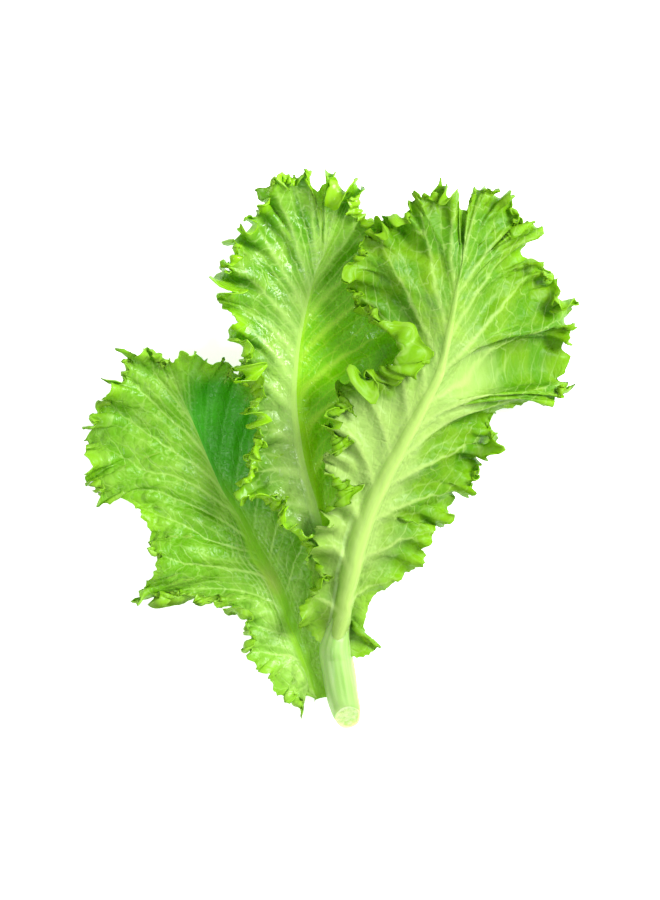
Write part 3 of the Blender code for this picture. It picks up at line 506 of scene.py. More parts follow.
class Leaf:
    """A rib and the two halves that grow from it."""

    def __init__(self, name, spec):
        self.name = name
        rng = random.Random(spec["seed"])
        self.drift, wobble, vary = (wander(rng, length) for length in WANDER)
        self.drifts = (wobble, *(wander(rng, length) for length in DRIFT_LENGTHS))
        self.sizes = (vary, *(wander(rng, length) for length in SIZE_LENGTHS))
        rib = curve_through(spec["rib"])
        self.rib = rib[:, :3]
        self.rib_half_width, self.rib_depth = rib[:, 3], rib[:, 4]
        self.rib_length = distance_along(rib)[-1]
        self.rib_t = distance_along(rib) / self.rib_length
        self.rib_way = unit(np.gradient(self.rib, axis=0))
        self.sweep = spec["sweep"]
        self.back_up = spec["back_up"]
        self.left = Half(self, spec, "left", 1)
        self.right = Half(self, spec, "right", -1)


LEAVES = [Leaf(name, spec) for name, spec in
          (("leaf_left", LEAF_LEFT), ("leaf_middle", LEAF_MIDDLE), ("leaf_right", LEAF_RIGHT))]
for leaf in LEAVES:
    print(leaf.name, "rib", round(leaf.rib_length), "mm, margins", round(leaf.left.total), "and",
          round(leaf.right.total), "mm")

# %% [markdown]
# ## A blade from its rib to its margin
# A real margin keeps growing after the middle has stopped. Simulated cloth could show that, but it is
# easier to say with curves: each vein is a bent line from the rib to the margin, and all of them together
# sweep out the blade. Cups and tucks move the middle of those lines.

# %% The blade before it ruffles
SWELL_PITCH, SWELL_RISE, SWELL_GROWTH = 46.0, 2.6, 1.6  # broad waves of the blade
SWELL_DRIFT = 1.6  # radians by which they wander
WAVE_START = 1.5  # how soon a wave starts on its way from the rib
FULL_REACH = 35.0  # a blade narrower than this has smaller waves
CURL_BAND = 7.0  # width of the margin that curls up or down, in millimetres
CURL_BACK = 0.6  # how far it is drawn back, over its height
PLEAT_FADE = 2.4  # how soon a pleat starts on its way from the rib
UP = np.array((0.0, 0.0, 1.0))


def vein_middle(half, t, rib, span, reach):
    """The point that each vein bends towards on its way from the rib to the margin."""
    leaf = half.leaf
    forward = read(t, leaf.rib_t, leaf.rib_way)
    cup = np.interp(t, half.cup[:, 0], half.cup[:, 1])
    bend = rib + 0.5 * span + forward * (leaf.sweep * reach)[:, None]
    bend = bend + UP * (cup * reach)[:, None]
    for place, width, drawn in half.tucks:
        bend = bend + np.exp(-(((t - place) / width) ** 2))[:, None] * np.array(drawn)
    return bend


def lay(half, u, s):
    """The blade before it ruffles, the mark along the whole margin that its waves are counted from,
    the distance from the margin, and the size of its waves."""
    along, t = u * half.total, half.root_of(u)
    rib = read(t, half.leaf.rib_t, half.leaf.rib)
    edge = read(along, half.length, half.edge)
    frill, curl = read(along, half.length, half.dress).T
    span = edge - rib
    reach = np.linalg.norm(span, axis=-1)
    bend = vein_middle(half, t, rib, span, reach)
    legs = np.linalg.norm(bend - rib, axis=-1) + np.linalg.norm(edge - bend, axis=-1)
    reach = 0.5 * (reach + legs)
    k = s[:, None]
    p = (1 - k) ** 2 * rib + 2 * k * (1 - k) * bend + k * k * edge
    mark = half.hand * (along - half.total)
    from_edge = (1 - s) * reach
    size = np.clip(reach / FULL_REACH, 0.0, 1.0) * frill
    swell = np.sin(2 * math.pi * mark / SWELL_PITCH + SWELL_DRIFT * half.leaf.drift(mark))
    rise = SWELL_RISE * size * swell * s**SWELL_GROWTH
    for place, width, height in half.pleats:
        rise = rise + height * np.exp(-(((t - place) / width) ** 2)) * ease(PLEAT_FADE * s)
    roll = curl * np.exp(-((from_edge / CURL_BAND) ** 2)) * ease(WAVE_START * s)
    p = p + UP * (rise + roll)[:, None] - unit(span) * (CURL_BACK * np.abs(roll))[:, None]
    return p, mark, from_edge, size


print("broad waves are", SWELL_PITCH, "mm long and rise", SWELL_RISE, "mm")

# %% [markdown]
# ## Ruffles in steps
# A real frill is made of waves on waves: a few broad ones, ruffles that grow towards the margin, and
# small ones at its edge. Each kind is added along the normals of the surface that the one before it left.
# A displacement modifier could add one kind, but the next has to follow the new surface. The ruffles also
# slide sideways over their neighbours, because a plain sine wave never stands steep enough.

# %% Waves on waves
# Each kind of wave: length along the margin, height, how far it reaches in, how sharply it dies away,
# how far it opens out over the next, its slant, its drift, the part of its height that is even, the
# part that varies, and how far it rises straight up instead of along the normal.
WAVES = (
    dict(pitch=14.5, rise=6.8, band=13.0, fall=1.4, open=0.11, lean=0.05, drift=2.1, even=0.8, vary=0.45,
         upward=0.75),
    dict(pitch=8.6, rise=2.7, band=5.0, fall=1.5, open=0.14, lean=0.09, drift=3.4, even=0.6, vary=0.8,
         upward=0.4),
    dict(pitch=4.6, rise=1.2, band=2.6, fall=1.3, open=0.12, lean=0.16, drift=3.0, even=0.5, vary=0.8,
         upward=0.3),
)
LEAST_WAVE = 0.1  # no wave is calmer than this share of its height
RUFFLED = {"leaf_left": 0.6, "leaf_middle": 1.0, "leaf_right": 1.0}  # how lively each margin is


def grid_frame(p, hand):
    """Upward normal at each point of a grid, and the direction in which the mark grows."""
    along = unit(np.gradient(p, axis=0)) * hand
    across = unit(np.gradient(p, axis=1))
    return unit(np.cross(along, across)), along


def near_margin(from_edge, band, fall):
    """1 at the margin, dying away over a band inside it."""
    return np.exp(-((from_edge / band) ** fall))


def waved(p, half, k, mark, from_edge, size, start):
    """The surface with the k-th kind of wave added to it, and the wave itself."""
    wave, leaf = WAVES[k], half.leaf
    normal, along = grid_frame(p, half.hand)
    drift = wave["drift"] * leaf.drifts[k](mark)
    phase = 2 * math.pi * mark / wave["pitch"] + drift + wave["lean"] * from_edge
    weight = near_margin(from_edge, wave["band"], wave["fall"]) * start * size
    varied = np.maximum(wave["even"] + wave["vary"] * leaf.sizes[k](mark), LEAST_WAVE)
    rise = RUFFLED[leaf.name] * wave["rise"] * varied * weight * np.sin(phase)
    slide = wave["open"] * wave["pitch"] * weight * np.sin(2 * phase)
    way = unit(normal * (1 - wave["upward"]) + UP * wave["upward"])
    return p + way * rise[..., None] - along * slide[..., None], np.sin(phase)


print("waves every", [wave["pitch"] for wave in WAVES], "mm along a margin")

# %% [markdown]
# ## Folds of the margin
# Here and there a margin has flopped over and lies on its own blade with its other face up. The largest
# is the lobe of the right leaf that reaches its rib. A flap could be a piece of its own, but a real one
# hangs on by its crease, so the margin itself is turned over. The large folds are listed one by one, and
# smaller ones are scattered between them.

# %% Where the margin folds over
# Each fold: place on the rib, half length of the fold along the margin, how far in its crease lies,
# how wide the crease is, how far it turns in radians, and how many times longer the flap has grown.
FOLDS = {
    ("leaf_right", "left"): ((0.655, 11.0, 13.0, 6.0, 3.25, 1.8), (0.505, 9.0, 10.0, 5.0, 3.0, 1.5),
                             (0.42, 8.5, 9.0, 5.0, 3.0, 1.5), (0.335, 9.0, 9.0, 5.0, 3.0, 1.5)),
    ("leaf_left", "left"): ((0.37, 17.0, 7.0, 3.5, 2.7, 2.4), (0.265, 13.0, 7.0, 4.0, 2.3, 1.8)),
    ("leaf_middle", "left"): ((0.922, 5.0, 5.0, 4.0, 2.2, 1.0), (0.897, 6.0, 5.0, 4.0, 2.1, 1.0),
                              (0.845, 5.5, 6.0, 4.5, 2.5, 1.0), (0.6, 8.0, 9.0, 4.0, 2.4, 1.3),
                              (0.4, 9.0, 10.0, 4.5, 2.3, 1.4), (0.27, 7.0, 8.0, 4.0, 2.2, 1.4)),
    ("leaf_middle", "right"): ((0.955, 8.0, 9.0, 4.5, 2.5, 1.3),),
}
FOLD_EVERY = {"leaf_left": 36.0, "leaf_middle": 19.0, "leaf_right": 21.0}  # millimetres to the next one
FOLD_SPREAD = (0.6, 1.3)  # limits of the way to the next small fold, over the usual one
# Limits of a small fold's half length, crease, width of the crease, turn and growth.
SMALL_FOLD = ((4.5, 8.0), (5.0, 8.0), (3.0, 4.5), (2.0, 2.8), (1.0, 1.5))
FRILLED = 0.4  # least frill of a margin that has small folds
FOLD_ENDS = 2.0  # how soon a fold is fully open, from either end
# Places where the blade steps down along a side vein: place on the rib, height, width.
STEPS = {("leaf_right", "right"): ((0.735, 8.0, 0.1),)}
STEP_CLEAR = 0.06  # small folds keep this far from a step, as a share of the rib


def folds_of(half):
    """The listed folds of a margin, and smaller ones scattered between them where it is frilly."""
    key = (half.leaf.name, half.side)
    folds = [(half.u_of(place) * half.total, *rest) for place, *rest in FOLDS.get(key, ())]
    rng = random.Random(half.leaf.name + half.side)
    every = FOLD_EVERY[half.leaf.name]
    at = 0.5 * every
    while at < half.total:
        small = (at, *(rng.uniform(*limits) for limits in SMALL_FOLD))
        frilly = np.interp(at, half.length, half.dress[:, 0]) > FRILLED
        for place, *_ in STEPS.get(key, ()):
            frilly = frilly and abs(half.root_of(at / half.total) - place) > STEP_CLEAR
        if frilly and all(abs(at - fold[0]) > fold[1] + small[1] for fold in folds):
            folds.append(small)
        at += every * rng.uniform(*FOLD_SPREAD)
    return folds


def fold_windows(half, mark):
    """For each fold of this margin: its round outline, how far it is open, and its other numbers."""
    for at, half_long, *rest in folds_of(half):
        off = mark - half.hand * (at - half.total)
        rounded = np.sqrt(np.clip(1.0 - (off / half_long) ** 2, 0.0, 1.0))
        yield rounded, ease(FOLD_ENDS * rounded), rest


for leaf in LEAVES:
    print(leaf.name, "has", len(folds_of(leaf.left)) + len(folds_of(leaf.right)), "folds")

# %% [markdown]
# ## Lobes and teeth
# The margin is cut into round lobes with narrow bays, each lobe into teeth, and those into finer ones.
# The outline could be cut out of the finished mesh, but that would leave ragged triangles, so the grid's
# outer rows are pushed out and drawn in instead.

# %% Cut the margin into teeth
# Length of a lobe along the margin, its depth, and how far in it is felt.
LOBES = {"leaf_left": (11.5, 5.0, 8.0), "leaf_middle": (12.4, 7.0, 7.5), "leaf_right": (12.6, 6.4, 7.0)}
LOBE_ROUND, LOBE_MIDDLE = 0.55, 0.8  # under 1 it is round with a narrow bay; the height left in place
# The same three numbers for the teeth, and their points: the smaller, the sharper.
TEETH = {"leaf_left": (8.0, 5.8, 5.5, 0.95), "leaf_middle": (5.6, 2.4, 2.8, 1.0),
         "leaf_right": (5.6, 2.6, 3.0, 1.0)}
TOOTH_MIDDLE, TOOTH_ON_FLAP = 0.35, 1.2  # the height left in place; how much longer it is on a flap
FINE_TEETH = {"leaf_left": 0.9, "leaf_middle": 1.7, "leaf_right": 1.7}  # their length
FINE_PITCH, FINE_MIDDLE, FINE_BAND = 2.9, 0.36, 1.7  # apart, height left in place, and how far in
FINE_PACE = 1.7  # how much quicker their unevenness changes along the margin
CUT_FALL, FINE_FALL = 1.3, 1.5  # how sharply lobes, teeth and fine teeth die away inwards
OUT_OF_STEP = (0.5, 0.6, 0.5)  # how unevenly lobes, teeth and fine teeth follow each other
VARIED = 0.7  # how much lobes and teeth vary in depth
LOBE_DEEP, LOBE_LIMITS = 0.6, (0.0, 1.4)  # usual share of a lobe's full depth, and its limits
TOOTH_LONG, TOOTH_LIMITS = 0.7, (0.2, 1.25)  # the same for a tooth
CALM_CUT = 0.25  # even a calm margin keeps this share of its teeth


def lobes(half, mark, from_edge):
    """How far the margin moves out for its lobes, in millimetres. Bays are below 0."""
    pitch, deep, band = LOBES[half.leaf.name]
    count = mark / pitch + OUT_OF_STEP[0] * half.leaf.drifts[0](mark)
    lobe = np.abs(np.sin(math.pi * count)) ** LOBE_ROUND - LOBE_MIDDLE
    deep = deep * np.clip(LOBE_DEEP + VARIED * half.leaf.sizes[1](mark), *LOBE_LIMITS)
    out = deep * lobe * near_margin(from_edge, band, CUT_FALL)
    for _, window, _ in fold_windows(half, mark):
        out = out * (1 - window)
    return out


def teeth(half, mark, from_edge):
    """The same for its teeth, which are longer where the margin is folded over."""
    pitch, long, band, blunt = TEETH[half.leaf.name]
    count = mark / pitch + OUT_OF_STEP[1] * half.leaf.drifts[2](mark)
    point = 1.0 - np.abs(np.sin(math.pi * count)) ** blunt
    long = long * np.clip(TOOTH_LONG + VARIED * half.leaf.sizes[2](mark), *TOOTH_LIMITS)
    for _, window, _ in fold_windows(half, mark):
        long = long * (1 + TOOTH_ON_FLAP * window)
    return long * (point - TOOTH_MIDDLE) * near_margin(from_edge, band, CUT_FALL)


def fine_teeth(half, mark, from_edge):
    """The same for the finest teeth."""
    count = mark / FINE_PITCH + OUT_OF_STEP[2] * half.leaf.drifts[1](mark * FINE_PACE)
    point = 1.0 - np.abs(np.sin(math.pi * count))
    return FINE_TEETH[half.leaf.name] * (point - FINE_MIDDLE) * near_margin(from_edge, FINE_BAND, FINE_FALL)


def toothed(p, half, mark, from_edge, size):
    """The surface with its margin cut into lobes and teeth."""
    normal, along = grid_frame(p, half.hand)
    out = lobes(half, mark, from_edge) + teeth(half, mark, from_edge) + fine_teeth(half, mark, from_edge)
    out = out * np.clip(size + CALM_CUT, 0.0, 1.0)
    return p + np.cross(normal, along) * out[..., None]


print("lobes are", [LOBES[leaf.name][0] for leaf in LEAVES], "mm long")

# %% [markdown]
# ## Curls
# On the crests of its ruffles the margin rolls up and over, and between them it droops. That needs more
# than a wave, because it turns past the upright. So the blade is laid out again from the rib to the
# margin, and each step is turned a little further than the one before, as when a strip of paper is drawn
# over a knife. A fold is one large turn at its crease.

# %% Roll and fold the margin
CURL_TIGHT = {"leaf_left": 0.5, "leaf_middle": 1.0, "leaf_right": 1.0}  # how tightly a margin rolls
CURL_ROLL, CURL_SHARP = 3.1, 1.3  # radians that a crest rolls, and how sharply it stands out
CURL_DROOP = 1.1  # radians that a hollow droops
CURL_REACH = 10.0  # how far in the roll starts, in millimetres
CURL_GROWTH, CURL_GROWN, CURL_SOFT = 0.7, 7.0, 4.0  # extra length of a crest, and where it grows
RIPPLE_ROLL, RIPPLE_REACH = 1.2, 6.0  # the same two measures for the smaller waves
LIVELY, LIVELY_VARY, LIVELIEST = 0.9, 0.7, 1.3  # how strongly a curl rolls, from place to place
LIVELY_PACE, LIVELY_START = 1.3, 40.0  # its own pace along the margin, so that it isn't the waves'
FLUTTER, FLUTTER_PITCH = 0.6, 5.6  # radians by which a flap's edge flutters, and its length
FLUTTER_REACH, FLUTTER_SOFT = 5.0, 4.0  # how far in it is felt, and how softly it starts
FLAP_SOFT, FLAP_RIM = 2.0, 2.5  # a flap grows longer between its crease and this rim


def fading(from_edge, reach):
    """1 at the margin, falling evenly to 0 at the reach."""
    return np.clip((reach - from_edge) / reach, 0.0, 1.0)


def ruffle_turn(half, mark, from_edge, size, crest, ripple):
    """How far each place on the blade turns for the ruffles, and how much longer it has grown."""
    tight = CURL_TIGHT[half.leaf.name]
    pace = half.leaf.sizes[1](mark * LIVELY_PACE + LIVELY_START)
    lively = np.clip(LIVELY + LIVELY_VARY * pace, 0.0, LIVELIEST)
    rolled = CURL_ROLL * np.abs(crest) ** CURL_SHARP * lively
    turn = np.where(crest > 0, rolled, -CURL_DROOP * np.abs(crest)) * fading(from_edge, CURL_REACH)
    turn = turn + RIPPLE_ROLL * ripple * fading(from_edge, RIPPLE_REACH)
    grown = np.clip(crest, 0.0, 1.0) * lively * ease((CURL_GROWN - from_edge) / CURL_SOFT)
    return tight * turn * size, 1.0 + tight * CURL_GROWTH * size * grown


def fold_turn(half, mark, from_edge, turn, longer):
    """The same two measures, with those of the folds in their own places."""
    for rounded, window, (crease, wide, angle, stretch) in fold_windows(half, mark):
        crease = crease * rounded
        flutter = FLUTTER * np.sin(2 * math.pi * mark / FLUTTER_PITCH)
        flutter = flutter * ease((FLUTTER_REACH - from_edge) / FLUTTER_SOFT)
        turn = turn * (1 - window) + window * (angle * ease((crease - from_edge) / wide) + flutter)
        inside = ease((crease - from_edge) / FLAP_SOFT) * ease((from_edge - FLAP_RIM) / FLAP_SOFT)
        longer = longer * (1 - window) + window * (1.0 + (stretch - 1.0) * inside)
    return turn, longer


def laid_again(p, axis, turn, longer):
    """The blade laid out from the rib to the margin, each step turned round the margin's direction."""
    step = np.diff(p, axis=1) * (0.5 * (longer[:, 1:] + longer[:, :-1]))[..., None]
    turn = 0.5 * (turn[:, 1:] + turn[:, :-1])[..., None]
    axis = unit(axis[:, 1:] + axis[:, :-1])
    ahead = (axis * step).sum(-1, keepdims=True) * axis
    step = ahead + (step - ahead) * np.cos(turn) + np.cross(axis, step) * np.sin(turn)
    return np.concatenate((p[:, :1], p[:, :1] + np.cumsum(step, axis=1)), axis=1)


print("a crest rolls up to", round(math.degrees(CURL_ROLL * LIVELIEST)), "degrees")

# %% [markdown]
# ## Crimped flaps
# A flap that has folded over is as frilled as the rest of the margin, so it is crimped across. Bump
# could draw the crimps, but the flap's outline has to show them too.

# %% Crimp the flaps
CRIMP_PITCH, CRIMP_RISE = 3.9, 1.05  # millimetres
CRIMP_DRIFT, CRIMP_SLANT = 2.0, 0.35  # radians by which crimps wander, and per millimetre inwards
CRIMP_START = 0.5  # they are full this share of the crease's width inside it


def crimped(p, half, mark, from_edge):
    """The flaps of the folds crimped across, as the rest of the margin is."""
    normal, _ = grid_frame(p, half.hand)
    phase = 2 * math.pi * mark / CRIMP_PITCH + CRIMP_DRIFT * half.leaf.drifts[2](mark)
    wave = np.sin(phase + CRIMP_SLANT * from_edge)
    rise = np.zeros(mark.shape)
    for rounded, window, (crease, wide, *_) in fold_windows(half, mark):
        flap = ease((crease * rounded - from_edge) / (CRIMP_START * wide)) * window
        rise = rise + CRIMP_RISE * flap * wave
    return p + normal * rise[..., None]


print("crimps are", CRIMP_PITCH, "mm apart")

# %% [markdown]
# ## The blade between its side veins
# Between two side veins the blade is slack and swells, and the veins hold it down like the stitches of a
# quilt. On the back the veins are ridges instead. Every point has to know which vein it lies near. The
# distance to a drawn curve could tell, but counting the veins from the stem to the tip is quicker: the
# count is whole on each vein and runs evenly from one to the next.

# %% Count the veins and swell the blade
VEIN_BEND = 0.6  # how long a side vein keeps beside the rib before it turns away
GAP_LIMITS = (1.5, 40.0)  # least and greatest distance between two veins, in millimetres
QUILT = {"leaf_left": 0.085, "leaf_middle": -0.15, "leaf_right": -0.15}  # rise per millimetre of gap
QUILT_WIDEST, QUILT_ROUND = 22.0, 1.4  # wider gaps swell no more; how narrow the swelling's top is
QUILT_START, QUILT_SOFT = 0.06, 0.25  # shares of the way from the rib where the swelling sets in
QUILT_LEFT, QUILT_CALM = 0.35, 12.0  # share left at the margin, and where it starts to calm down
STEP_SOFT, STEP_START = 0.12, 3.0  # how sharp a step is, and how soon it starts beside the rib


def vein_count(half, u, s):
    """A number that is whole on every side vein, for a place on half a leaf."""
    roots, ends = np.array(SIDE_VEINS[half.leaf.name][half.side]).T
    t = half.root_of(u)
    order = np.arange(len(roots), dtype=float)
    share = s**VEIN_BEND
    return (1 - share) * np.interp(t, roots, order) + share * np.interp(t, ends, order)


def spacing(flat, veins):
    """Distance between neighbouring side veins, in millimetres, at each point of the grid."""
    pu, pv = np.gradient(flat, axis=0), np.gradient(flat, axis=1)
    fu, fv = np.gradient(veins, axis=0), np.gradient(veins, axis=1)
    e, f, g = (pu * pu).sum(-1), (pu * pv).sum(-1), (pv * pv).sum(-1)
    area = np.maximum(e * g - f * f, LEAST)
    slope = np.sqrt(np.maximum((g * fu * fu - 2 * f * fu * fv + e * fv * fv) / area, LEAST))
    return np.clip(1.0 / slope, *GAP_LIMITS)


def vein_relief(p, half, veins, gap, way, from_edge, run):
    """The blade swells between its side veins, and may step down along one."""
    normal, _ = grid_frame(p, half.hand)
    off = np.abs(veins - np.round(veins))
    calm = QUILT_LEFT + (1 - QUILT_LEFT) * ease(from_edge / QUILT_CALM)
    fade = ease((way - QUILT_START) / QUILT_SOFT) * calm
    swell = np.sin(math.pi * off) ** QUILT_ROUND
    rise = QUILT[half.leaf.name] * np.minimum(gap, QUILT_WIDEST) * swell * fade
    for place, height, width in STEPS.get((half.leaf.name, half.side), ()):
        below = (place - run) / width
        fall = height * ease(below / STEP_SOFT) * np.exp(-np.maximum(below, 0.0) ** 2)
        rise = rise - fall * ease(STEP_START * way)
    return p + normal * rise[..., None]


print("the left leaf's left half has", len(SIDE_VEINS["leaf_left"]["left"]) - 2, "side veins")

# %% [markdown]
# ## Blisters
# Smaller blisters stand up on the inner side and are pits on the back. They look like soap bubbles
# pressed together, so each fills the space that is nearest to its own middle. A shader's bump could fake
# them, but it wouldn't catch the light at a low angle.

# %% Blisters between the veins
BLISTER_SIZES = ((9.0, 0.9), (4.4, 0.42))  # size of a blister and its rise
BLISTER_SEED, BLISTERS_ACROSS = 5, 80  # first seed, and blisters before the scatter repeats
BLISTER_ROOM = (0.15, 0.85)  # where a blister's middle may lie in its own square
BLISTER_LONG = 0.8  # blisters are longer along the leaf
BLISTER_SEAM = 0.55  # how wide the seam between two of them is
BLISTER_START, BLISTER_SOFT = 0.08, 0.22  # shares of the way from the rib where they set in
BLISTER_CLEAR = 3.0  # millimetres beside a vein that stay flat
BLISTER_LEFT, BLISTER_CALM = 0.25, 9.0  # share left at the margin, and where they calm down
BLISTERED = {("leaf_left", "left"): 1.3, ("leaf_left", "right"): 0.8, ("leaf_middle", "left"): 0.7,
             ("leaf_middle", "right"): 0.2, ("leaf_right", "left"): 0.4, ("leaf_right", "right"): 0.7}
# The most puckered places of a leaf, their size, how much of a blister is left elsewhere and what is
# added in their middle.
BLISTER_SPOTS = {"leaf_left": ((-72.0, 4.0), (-72.0, -26.0), (-50.0, -38.0))}
SPOT_SIZE, SPOT_BASE, SPOT_MORE = 11.0, 0.85, 0.9
FAR = 9.0  # farther than any neighbour


def cells(x, y, size, seed):
    """Distance to the nearest and to the second nearest of many scattered points, over their spacing."""
    rng = np.random.default_rng(seed)
    scatter = rng.uniform(*BLISTER_ROOM, (BLISTERS_ACROSS, BLISTERS_ACROSS, 2))
    cx, cy = np.floor(x / size).astype(int), np.floor(y / size).astype(int)
    near = np.full(x.shape, FAR)
    second = np.full(x.shape, FAR)
    for dx in (-1, 0, 1):
        for dy in (-1, 0, 1):
            ix, iy = cx + dx, cy + dy
            spot = scatter[ix % BLISTERS_ACROSS, iy % BLISTERS_ACROSS]
            d = np.hypot(ix + spot[..., 0] - x / size, iy + spot[..., 1] - y / size)
            second = np.minimum(second, np.maximum(d, near))
            near = np.minimum(near, d)
    return near, second


def blisters(p, half, flat, veins, gap, way, from_edge):
    """The surface with its blisters, which are flat beside a vein and low at the margin."""
    normal, _ = grid_frame(p, half.hand)
    rise = 0.0
    for k, (size, height) in enumerate(BLISTER_SIZES):
        near, second = cells(flat[..., 0], flat[..., 1] * BLISTER_LONG, size, BLISTER_SEED + k)
        rise = rise + height * ease((second - near) / BLISTER_SEAM)
    off = np.abs(veins - np.round(veins)) * gap
    calm = BLISTER_LEFT + (1 - BLISTER_LEFT) * ease(from_edge / BLISTER_CALM)
    fade = ease((way - BLISTER_START) / BLISTER_SOFT) * ease(off / BLISTER_CLEAR) * calm
    fade = fade * BLISTERED[half.leaf.name, half.side]
    for x, y in BLISTER_SPOTS.get(half.leaf.name, ()):
        off = np.hypot(flat[..., 0] - x, flat[..., 1] - y)
        fade = fade * (SPOT_BASE + SPOT_MORE * np.exp(-((off / SPOT_SIZE) ** 2)))
    side = -1.0 if half.leaf.back_up else 1.0
    return p + normal * (side * rise * fade)[..., None]


print("blisters are", [size for size, _ in BLISTER_SIZES], "mm wide")

# %% [markdown]
# ## All steps together
# Each half of a leaf goes through the steps in turn: it is laid out, swells between its veins, ruffles
# three times, is cut into teeth, curls, is crimped where it folds, and blisters. Modifiers could be
# stacked like that, but they wouldn't keep the measures that the finish is drawn from.

# %% A fine grid for each half leaf
COLUMNS, ROWS = 1700, 96  # points along the margin, and from the rib to the margin
ROW_CROWD = 1.5  # how far rows crowd towards the margin
FLAP_SIZE = 0.5  # waves on a folded flap, over those of a frilly margin
SOFT_TOP, SOFT_REST = 42.5, 4.2  # over this height all is eased, so that it stays near the solids'
BESIDE_RIB = 0.1  # up to this share of the way the normals are those just beyond


def eased_top(z):
    """Heights over the soft top are pressed together, so that none of them rises far above it."""
    return np.where(z > SOFT_TOP, SOFT_TOP + SOFT_REST * np.tanh((z - SOFT_TOP) / SOFT_REST), z)


def fine_grid(half):
    """Positions, normals and measures of half a leaf, on a grid of columns and rows."""
    u = np.linspace(0.0, 1.0, COLUMNS)
    s = 1.0 - (1.0 - np.linspace(0.0, 1.0, ROWS)) ** ROW_CROWD
    shape = (COLUMNS, ROWS)
    u_all, s_all = (a.ravel() for a in np.meshgrid(u, s, indexing="ij"))
    flat, mark, from_edge, size = lay(half, u_all, s_all)
    flat = flat.reshape(*shape, 3)
    mark, from_edge, size = (a.reshape(shape) for a in (mark, from_edge, size))
    for _, window, _ in fold_windows(half, mark):
        size = size * (1 - window) + FLAP_SIZE * window
    way, run = s_all.reshape(shape), half.root_of(u_all).reshape(shape)
    veins = vein_count(half, u_all, s_all).reshape(shape)
    gap = spacing(flat, veins)
    start = ease(WAVE_START * way)
    p = vein_relief(flat, half, veins, gap, way, from_edge, run)
    p, crest = waved(p, half, 0, mark, from_edge, size, start)
    p, ripple = waved(p, half, 1, mark, from_edge, size, start)
    p, _ = waved(p, half, 2, mark, from_edge, size, start)
    p = toothed(p, half, mark, from_edge, size)
    turn, longer = ruffle_turn(half, mark, from_edge, size, crest, ripple)
    turn, longer = fold_turn(half, mark, from_edge, turn, longer)
    p = laid_again(p, grid_frame(flat, half.hand)[1], turn, longer)
    p = crimped(p, half, mark, from_edge)
    p[..., 2] = eased_top(p[..., 2])
    p = blisters(p, half, flat, veins, gap, way, from_edge)
    normal, _ = grid_frame(p, half.hand)
    beside = np.searchsorted(s, BESIDE_RIB)
    normal[:, :beside] = normal[:, beside:beside + 1]
    return {"p": p, "normal": normal, "flat": flat, "vein": veins, "gap": gap, "edge": from_edge,
            "way": way, "run": run, "crest": crest, "reach": half.reach(u_all).reshape(shape)}


GRIDS = {leaf.name: (fine_grid(leaf.left), fine_grid(leaf.right)) for leaf in LEAVES}
for name, grids in GRIDS.items():
    top = max(g["p"][..., 2].max() for g in grids)
    apart = round(grids[0]["gap"].mean(), 1)
    print(name, "highest point", round(top, 1), "mm; side veins", apart, "mm apart")

# %% [markdown]
# ## Rows from the rib to the margin
# The grids are finer than a mesh needs near the rib. The mesh could take every point of them, but most
# would be spent on the smooth middle of the blade. So it reads them in bands with their own spacing, and
# the first band is the rib itself.

# %% Bands of rows
RIB_SHARES = (0.0, 0.2, 0.4, 0.6, 0.8, 1.0)  # rows of the rib, over its half width
RIB_SPACING = 1.1  # millimetres between the rib's columns
RIB_WIDEST = 0.6  # the rib never takes more than this share of the way to the margin
RULER_MARKS = 1500  # places that are read along a row to measure it
BANDS = (  # shares of the way from the rib's side to the margin, and the columns' spacing in it
    ((0.04, 0.085, 0.13, 0.18, 0.23, 0.285), 1.15),
    ((0.34, 0.39, 0.44, 0.49, 0.54, 0.585, 0.63, 0.67, 0.71), 0.95),
    ((0.745, 0.775, 0.8, 0.825, 0.85, 0.87, 0.89, 0.907, 0.923, 0.938, 0.952, 0.963, 0.973, 0.982,
      0.989, 0.995, 1.0), 0.42),
)


def sample(grid, u, s):
    """Every measure of a grid, read between its points."""
    i = np.clip(u, 0.0, 1.0) * (COLUMNS - 1)
    j = (1.0 - (1.0 - np.clip(s, 0.0, 1.0)) ** (1.0 / ROW_CROWD)) * (ROWS - 1)
    i0, j0 = np.minimum(i.astype(int), COLUMNS - 2), np.minimum(j.astype(int), ROWS - 2)
    fi, fj = i - i0, j - j0
    out = {}
    for key, a in grid.items():
        wi, wj = (fi[..., None], fj[..., None]) if a.ndim == 3 else (fi, fj)
        out[key] = ((1 - wi) * ((1 - wj) * a[i0, j0] + wj * a[i0, j0 + 1])
                    + wi * ((1 - wj) * a[i0 + 1, j0] + wj * a[i0 + 1, j0 + 1]))
    return out


def rib_places(leaf):
    """Places on the rib, from 0 to 1, one for each of its columns."""
    return np.linspace(0.0, 1.0, int(leaf.rib_length / RIB_SPACING) + 1)


def rib_share(half, u):
    """The rib's half width, as a share of the way to the margin."""
    width = np.interp(half.root_of(u), half.leaf.rib_t, half.leaf.rib_half_width)
    return np.minimum(width / half.reach(u), RIB_WIDEST)


def bands_of(half, grid):
    """For each band: the columns' places u, and the rows' places s and shares of the rib's width."""
    u = half.u_of(rib_places(half.leaf))
    across = np.broadcast_to(RIB_SHARES, (len(u), len(RIB_SHARES)))
    bands = [(u, np.outer(rib_share(half, u), RIB_SHARES), across)]
    marks = np.linspace(0.0, 1.0, RULER_MARKS)
    beside = rib_share(half, marks)
    for shares, apart in BANDS:
        row = sample({"flat": grid["flat"]}, marks, beside + (1 - beside) * shares[-1])["flat"]
        length = distance_along(row)
        u = np.interp(np.linspace(0.0, length[-1], int(length[-1] / apart) + 1), length, marks)
        near = rib_share(half, u)[:, None]
        bands.append((u, near + (1 - near) * np.array(shares), np.ones((len(u), len(shares)))))
    return bands


